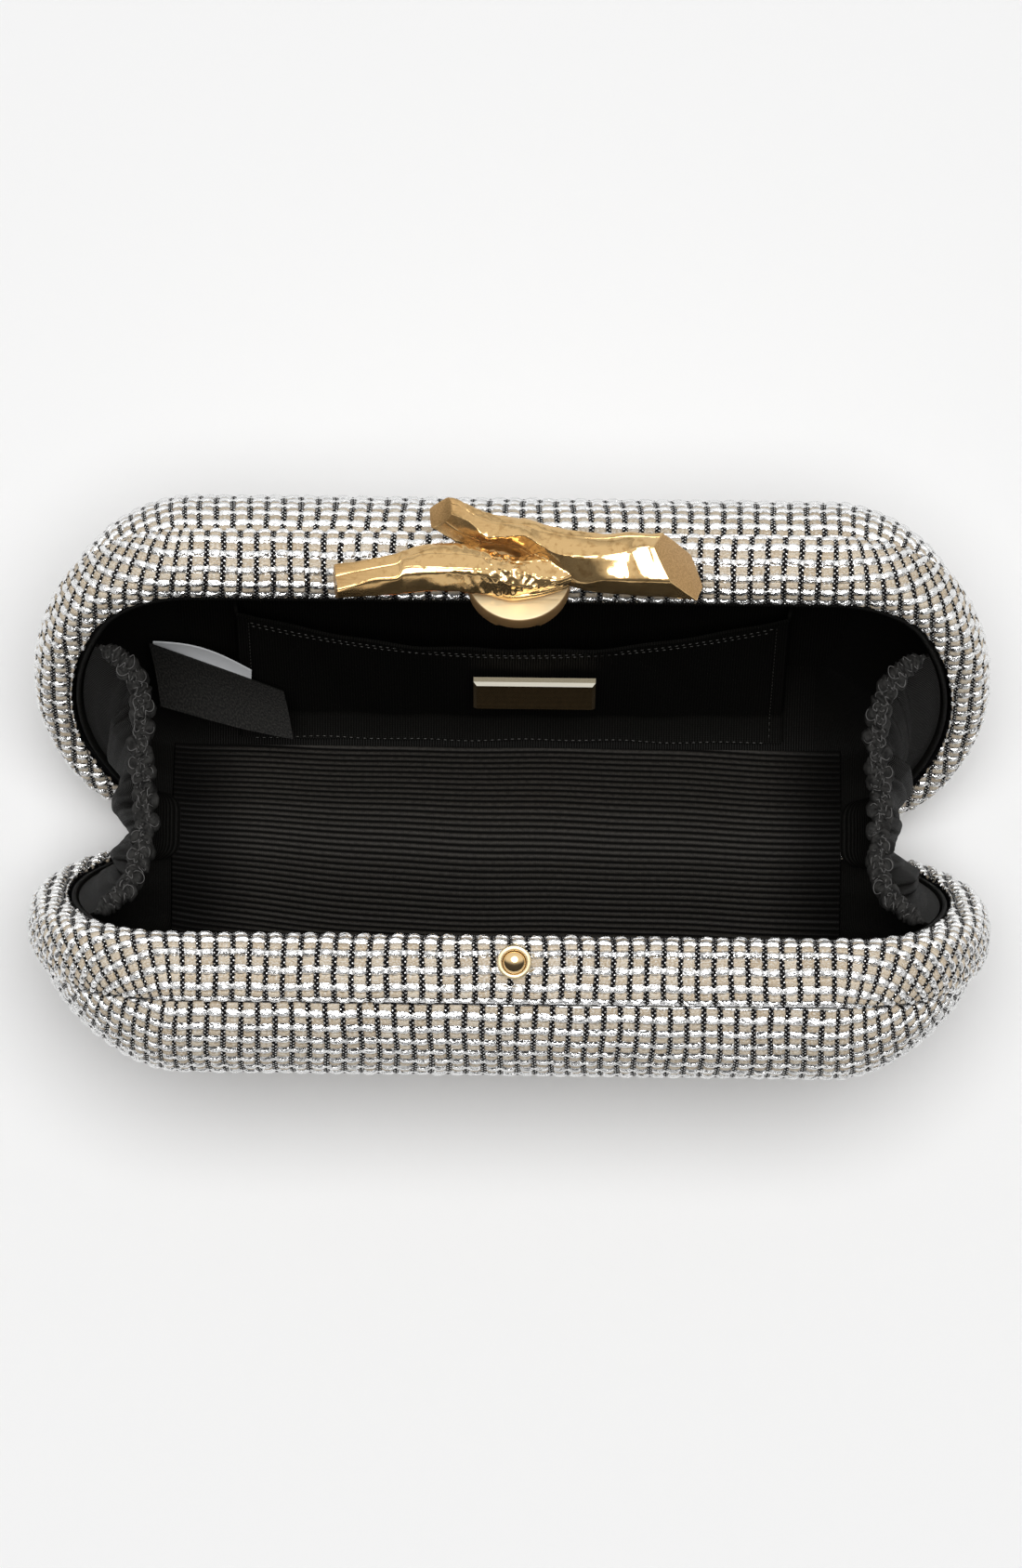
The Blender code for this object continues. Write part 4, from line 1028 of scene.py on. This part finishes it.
def twig_branch(name, table, rise, starts, ends, look):
    # starts and ends give the X of each end's cut and how far it slants along and across the sight line.
    smooth = smooth_line(np.array(table), 24)
    reach = starts[0] + (ends[0] - starts[0]) * np.linspace(0, 1, branch_rings)
    columns = [np.interp(reach, smooth[:, 0], smooth[:, k]) for k in range(smooth.shape[1])]
    deep, radius, bark, brushed = columns[1], columns[2], columns[13], columns[14]
    edges = [(columns[k], columns[k + 1]) for k in range(3, 13, 2)]
    edges += [(-0.69 * radius, -0.73 * radius), (0.52 * radius, -0.85 * radius)]
    ups, outs, flats = [], [], []
    for k, (up, out) in enumerate(edges):
        next_up, next_out = edges[(k + 1) % len(edges)]
        long = np.hypot(next_up - up, next_out - out)
        for share in face_steps:
            from_edge = min(share, 1 - share)
            swell = (0.06 + 0.09 * np.sin(reach / 2.7 + 2 * k)) * math.sin(math.pi * share)
            swell -= 0.14 * math.exp(-from_edge / 0.03)
            ups.append(up + (next_up - up) * share + swell * (next_out - out) / long)
            outs.append(out + (next_out - out) * share + swell * (up - next_up) / long)
            flats.append(min(1, 12 * from_edge))
    up, out = np.stack(ups, axis=1), np.stack(outs, axis=1)
    height = twig_seat + rise
    rough = np.zeros_like(up)
    for (i, j), _ in np.ndenumerate(up):
        low = mathutils_noise.noise((reach[i] * 0.24, up[i, j] * 0.3, out[i, j] * 0.3 + height * 900))
        fine = mathutils_noise.noise((reach[i] * 1.1, up[i, j] * 1.5, out[i, j] * 1.5))
        rough[i, j] = 0.3 * low + bark[i] * 0.15 * fine
    share = 1 + rough / radius[:, None]
    up, out = up * share, out * share
    start_room = np.clip(1 - (reach - starts[0]) / 7, 0, 1)[:, None]
    end_room = np.clip(1 - (ends[0] - reach) / 12, 0, 1)[:, None]
    x = reach[:, None] + start_room * (starts[1] * out + starts[2] * up)
    x += end_room * (ends[1] * out + ends[2] * up)
    d = deep[:, None] + sight_up * up - sight_level * out
    h = height * 1000 + sight_level * up + sight_up * out
    # The cut ends are brushed discs inside a thin polished edge.
    places = np.stack([x, d, h])
    middle = places.mean(axis=2, keepdims=True)
    caps = middle + (places - middle) * 0.95
    places = np.concatenate([caps[:, :1], places, caps[:, -1:]], axis=1)
    places[0, 0] -= 0.06
    places[0, -1] += 0.06
    places[2] = np.maximum(places[2], twig_seat * 1000)
    rings, sides = places.shape[1:]
    points = half_points("back", *places / 1000).reshape(-1, 3)
    made = solid_piece(name, points, tube_faces(rings, sides), look, 38)
    finish = brushed[:, None] * (0.2 + 0.8 * np.array(flats))
    mark(made, "finish", np.pad(finish, ((1, 1), (0, 0)), constant_values=1))
    return made


cast_gold, tree, shader = material("cast_gold", 0.25, gold_colour, 0.86)
brushed = attribute(tree, "finish", "Fac")
grain = noise(tree, 1.0, 3.0, None, (400, 3600, 3600))
pits = noise(tree, 700, 3.0)
tone = blended(ramp(pits, 0.3, 0.5), (0.53, 0.325, 0.13, 1), (0.72, 0.48, 0.215, 1))
dusted = blended(ramp(grain, 0.3, 0.7), (0.40, 0.235, 0.09, 1), (0.56, 0.345, 0.145, 1))
dulled = brushed * 0.26 + ramp(noise(tree, 130, 2.0), 0.4, 0.7, 0.07, 0.17)
feed(shader, Base_Color=blended(brushed, tone, dusted), Roughness=dulled)
bump(shader, pits * 0.4 + grain * brushed * 0.6, 0.2, 0.0001)
stem = twig_branch("twig_stem_cast", stem_table, 0.00495, (-12.9, 1.0, 0.0), (30.0, -0.75, -0.45), cast_gold)
shoot = twig_branch("twig_shoot_cast", shoot_table, 0.00395, (-31.9, 0.12, -0.1), (13.0, 0.0, 0.0), cast_gold)
bud = twig_branch("twig_bud_cast", bud_table, 0.0012, (-8.0, 0.0, 0.0), (10.0, 0.0, 0.0), cast_gold)
for other in (shoot, bud):
    joined = stem.modifiers.new("cast_together", "BOOLEAN")
    joined.operation = "UNION"
    joined.solver = "EXACT"
    joined.use_self = True
    joined.object = other
bpy.context.view_layer.update()
solid = bpy.data.meshes.new_from_object(stem.evaluated_get(bpy.context.evaluated_depsgraph_get()))
stem.modifiers.clear()
stem.data = solid
for other in (shoot, bud):
    bpy.data.objects.remove(other, do_unlink=True)
stem.name = "twig_cast"
stand_in(stem, "twig_handle", "back_half", "gold")

# Gussets.
# A wedge of the lining faille closes each end of the open case. It is glued to both linings below the
# collars' lips, drawn in at the top by its elastic, and puffs outwards between the gathers.
gusset_top = 0.071
gusset_foot = 0.0125
gusset_seat = 0.002
gusset_draw = 0.009
gusset_tuck = 0.0095
gusset_foot_share = 0.25
gusset_dip = 0.006
gusset_cloth = 0.0006
gusset_inset = 0.0099
gusset_columns, gusset_row_count = 300, 64
# Where each gusset's lobes lie from the front rim, -1, to the back rim, 1, and how far each puffs out.
left_lobes = (
    (-1, -0.88, -0.82, -0.73, -0.58, -0.34, -0.03, 0.27, 0.55, 0.8, 0.9, 1),
    (0, 0.5, 0.8, 0.1, 1, 0, 1.1, 0, 1.3, 0.1, 0.5, 0),
)
right_lobes = (
    (-1, -0.9, -0.68, -0.45, -0.15, 0.0, 0.27, 0.52, 0.68, 0.84, 0.92, 1),
    (0, 0.3, 1.4, 0.0, 0.5, 0, 1.3, 0.0, 0.7, 0.1, 0.5, 0),
)
lobe_blur = np.hanning(13) / np.hanning(13).sum()


def half_width(inset, height):
    offset = edge_radius - inset
    rise = np.abs(height - case_middle)
    corner = core_half_height + offset * core_half_height / side_radius
    bowed = side_middle + np.sqrt(np.maximum((side_radius + offset) ** 2 - rise ** 2, 0))
    round_part = core_half_length + np.sqrt(np.maximum(offset ** 2 - (rise - core_half_height) ** 2, 0))
    return np.where(rise < corner, bowed, round_part)


def gusset_place(sign, share, rise):
    # A place on the gusset: share runs from the front rim, -1, to the back rim, 1, and rise from foot to top.
    height = gusset_foot + (gusset_top - gusset_foot) * rise
    wall = half_width(gusset_inset, height)
    edge = half_points("back", wall, np.full_like(wall, gusset_seat), height)
    drawn = gusset_foot_share + (1 - gusset_foot_share) * rise
    draw = gusset_draw * drawn + gusset_tuck * rise * (1 - rise)
    lobes = np.interp(share, *(left_lobes if sign < 0 else right_lobes))
    if np.ndim(share) == 2:
        lobes = np.array([np.convolve(np.pad(line, 6, mode="edge"), lobe_blur, "valid") for line in lobes])
    billow = 0.0032 * lobes * np.clip(rise / 0.5, 0, 1) ** 2 * np.clip((1 - rise) / 0.16, 0, 1) ** 0.5
    gather = 0.0007 * np.sin(share * 46 + 2 * np.sin(share * 9)) + 0.0004 * np.sin(share * 83 + 3 * rise)
    x = wall - draw * (1 - np.abs(share) ** 6) + billow + gather * rise ** 4 * (1 - share ** 8)
    x += 0.0006 * np.sin(share * 5.2 + (0 if sign < 0 else 2.2)) * rise * (1 - share ** 2)
    z = edge[..., 2] - gusset_dip * rise * (1 - share ** 2) + 0.0003
    return np.stack([x * sign, edge[..., 1] * share, z], axis=-1)


def bend_with_case(made):
    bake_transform(made)


for side, sign in (("left", -1), ("right", 1)):
    share, rise = np.meshgrid(np.linspace(-1, 1, gusset_columns), np.linspace(0, 1, gusset_row_count))
    grid = gusset_place(sign, share, rise)
    marks = flat_marks(grid[..., 1] * 1000, grid[..., 2] / faille_pitch)
    gusset = closed_sheet(side + "_gusset_cloth", grid, lining_faille, gusset_cloth, 0.0, marks)
    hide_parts("gusset_" + side)
    bend_with_case(gusset)

# Gathered elastic edges.
# A flat elastic is cased in the top edge of each gusset and shirred with rows of zigzag stitching, so the
# edge bunches into a soft ruffled cord.
cord_width, cord_height = 0.0017, 0.0018
cord_stations, cord_sides = 420, 36
zigzag_pitch = 0.0015
zigzag_radius = 0.0001
# Each zigzag row's lowest and highest angle round the cord, and its shift along it.
zigzag_rows = ((0.55, 1.45, 0.0), (1.65, 2.6, 0.4))
shirred_cloth, tree, shader = material("shirred_elastic", 0.7, (0.02, 0.02, 0.02, 1))
# Painted light and shade: a stretched noise lightens and darkens the black elastic as if on its gathered
# folds.
fold_light_and_shade = noise(tree, 1.0, 3.0, attribute(tree, "weave"), (2.2, 0.5, 1))
painted_fold_colour = blended(ramp(fold_light_and_shade, 0.3, 0.7), (0.0035, 0.0033, 0.003, 1), (0.034, 0.033, 0.031, 1))
feed(shader, Base_Color=painted_fold_colour, Specular_IOR_Level=0.2)
bump(shader, noise(tree, 1.0, 4.0, attribute(tree, "weave"), (7, 2, 1)), 0.8, 0.0003)
zigzag_thread, tree, shader = material("zigzag_thread", 0.45, (0.10, 0.10, 0.10, 1))
feed(shader, Base_Color=blended(noise(tree, 900), (0.02, 0.02, 0.02, 1), (0.13, 0.125, 0.12, 1)))
bump(shader, noise(tree, 4000), 0.4, 0.00004)


def cord_frame(sign, count, limit):
    # The cord's middle line, its outward and upward directions, and how far along it each place lies.
    shares = np.linspace(-limit, limit, count)
    centre = gusset_place(sign, shares, np.ones_like(shares)) + np.array([0, 0, 0.0012])
    along = unit(np.gradient(centre, axis=0))
    outward = unit(np.cross(along, (0, 0, 1.0)))
    outward *= np.sign(outward[:, :1]) * sign
    above = np.cross(outward, along)
    return centre, outward, above * np.sign(above[:, 2:]), lengths(centre)


def cord_surface(frame_lines, angle, lift):
    centre, outward, above, gone = frame_lines
    s = gone[:, None] * 1000
    ruffle = 0.20 * np.sin(s * 4.4 + 1.4 * np.sin(angle * 2 + s * 0.5)) + 0.10 * np.sin(s * 2.1 + angle * 4)
    ruffle += 0.13 * np.sin(s * 7.3 - 3 * angle + 2 * np.sin(s * 0.8))
    taper = np.clip(np.minimum(gone, gone[-1] - gone) / 0.002, 0.25, 1)[:, None]
    size = (1 + ruffle * 0.55) * taper
    side = (cord_width * size + lift) * np.cos(angle)
    tall = (cord_height * size + lift) * np.sin(angle)
    return centre[:, None] + outward[:, None] * side[..., None] + above[:, None] * tall[..., None]


for side, sign in (("left", -1), ("right", 1)):
    lines = cord_frame(sign, cord_stations, 0.985)
    angle = np.tile(np.linspace(0, math.tau, cord_sides, endpoint=False), (cord_stations, 1))
    points = cord_surface(lines, angle, 0.0).reshape(-1, 3)
    faces = tube_faces(cord_stations, cord_sides)
    cord = solid_piece(side + "_shirred_elastic", points, faces, shirred_cloth)
    mark(cord, "weave", flat_marks(lines[3][:, None] * 1000, angle * 2))
    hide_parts("elastic_" + side)
    bend_with_case(cord)
    points, faces = [], []
    fine = cord_frame(sign, 1500, 0.975)
    for low, high, shift in zigzag_rows:
        phase = fine[3] / zigzag_pitch + shift + 0.25 * np.sin(fine[3] / 0.004)
        wave = 2 / math.pi * np.arcsin(0.97 * np.sin(math.tau * phase))
        path = cord_surface(fine, ((low + high) / 2 + (high - low) / 2 * wave)[:, None], 0.0001)[:, 0]
        tube = thread_tube(path, zigzag_radius, 5, (0.2, 0.3, 0.93), len(points))
        points += tube[0]
        faces += tube[1]
    zigzag = solid_piece(side + "_zigzag_stitching", points, faces, zigzag_thread)
    bend_with_case(zigzag)

# Floor, light and camera.
# A pale studio floor lies under soft overhead light, and the camera looks almost straight down into the
# open case.
backdrop, tree, shader = material("studio_floor", 0.9, (0.92, 0.92, 0.92, 1))
bpy.ops.mesh.primitive_plane_add(size=24, location=(0, 0, 0))
ground = bpy.context.object
ground.name = "studio_floor"
ground.data.materials.append(backdrop)
softbox_from = Vector((0.03, -0.07, 1.0))
softbox = bpy.data.lights.new("overhead_softbox", "SUN")
softbox.angle = math.radians(36)
softbox.energy = 2.5
hung = bpy.data.objects.new("overhead_softbox", softbox)
hung.location = softbox_from
hung.rotation_euler = softbox_from.to_track_quat("Z", "Y").to_euler()
bpy.context.scene.collection.objects.link(hung)

# The room is bright on the far side and overhead, and dimmer on the near side. Reflections show it in full,
# other surfaces take about a quarter of its light, and the camera sees plain white.
world = bpy.data.worlds.new("studio")
bpy.context.scene.world = world
world.use_nodes = True
tree = world.node_tree
room_x, room_y, above = parts_of(Signal(new_node(tree, "TexCoord").outputs["Generated"]))
rays = new_node(tree, "LightPath").outputs
ray_kinds = ("Is Camera Ray", "Is Glossy Ray", "Is Transmission Ray")
camera_ray, glossy, through = [Signal(rays[kind]) for kind in ray_kinds]
bearing = room_y * 0.75 + above * 0.45 - calc("ABSOLUTE", room_x) * 0.1
level = ramp(bearing, -0.15, 0.24, 0.075, 1.0) * ramp(above, 0.0, 0.45, 0.5, 1.0)
level = level * ramp(calc("MAXIMUM", glossy, through), 0.0, 1.0, 0.26, 1.0)
feed(tree.nodes["Background"], Color=(1, 1, 1, 1), Strength=calc("MAXIMUM", level, camera_ray))
bpy.context.scene.view_settings.view_transform = "Standard"

image_width, image_height = 1100, 1687
focal_pixels = 7214.98
view_distance = 1.301
view_tilt = math.radians(9.172)
view_roll = math.radians(0.677)
hinge_pixel = (549.05, 903.0)
looking = Vector((0, math.sin(view_tilt), -math.cos(view_tilt)))
level_up = Vector((0, math.cos(view_tilt), math.sin(view_tilt)))
level_right = Vector((1, 0, 0))
up = level_up * math.cos(view_roll) - level_right * math.sin(view_roll)
right = level_right * math.cos(view_roll) + level_up * math.sin(view_roll)
pixel = view_distance / focal_pixels
place = Vector((0, 0, hinge_height)) - looking * view_distance
place += up * (hinge_pixel[1] - image_height / 2) * pixel + right * (image_width / 2 - hinge_pixel[0]) * pixel
eye = bpy.data.cameras.new("photo_camera")
eye.sensor_fit = "HORIZONTAL"
eye.sensor_width = 36
eye.lens = focal_pixels / image_width * 36
eye.clip_start = 0.05
camera = bpy.data.objects.new("photo_camera", eye)
camera.matrix_world = Matrix.Translation(place) @ Matrix((right, up, -looking)).transposed().to_4x4()
bpy.context.scene.collection.objects.link(camera)
bpy.context.scene.camera = camera
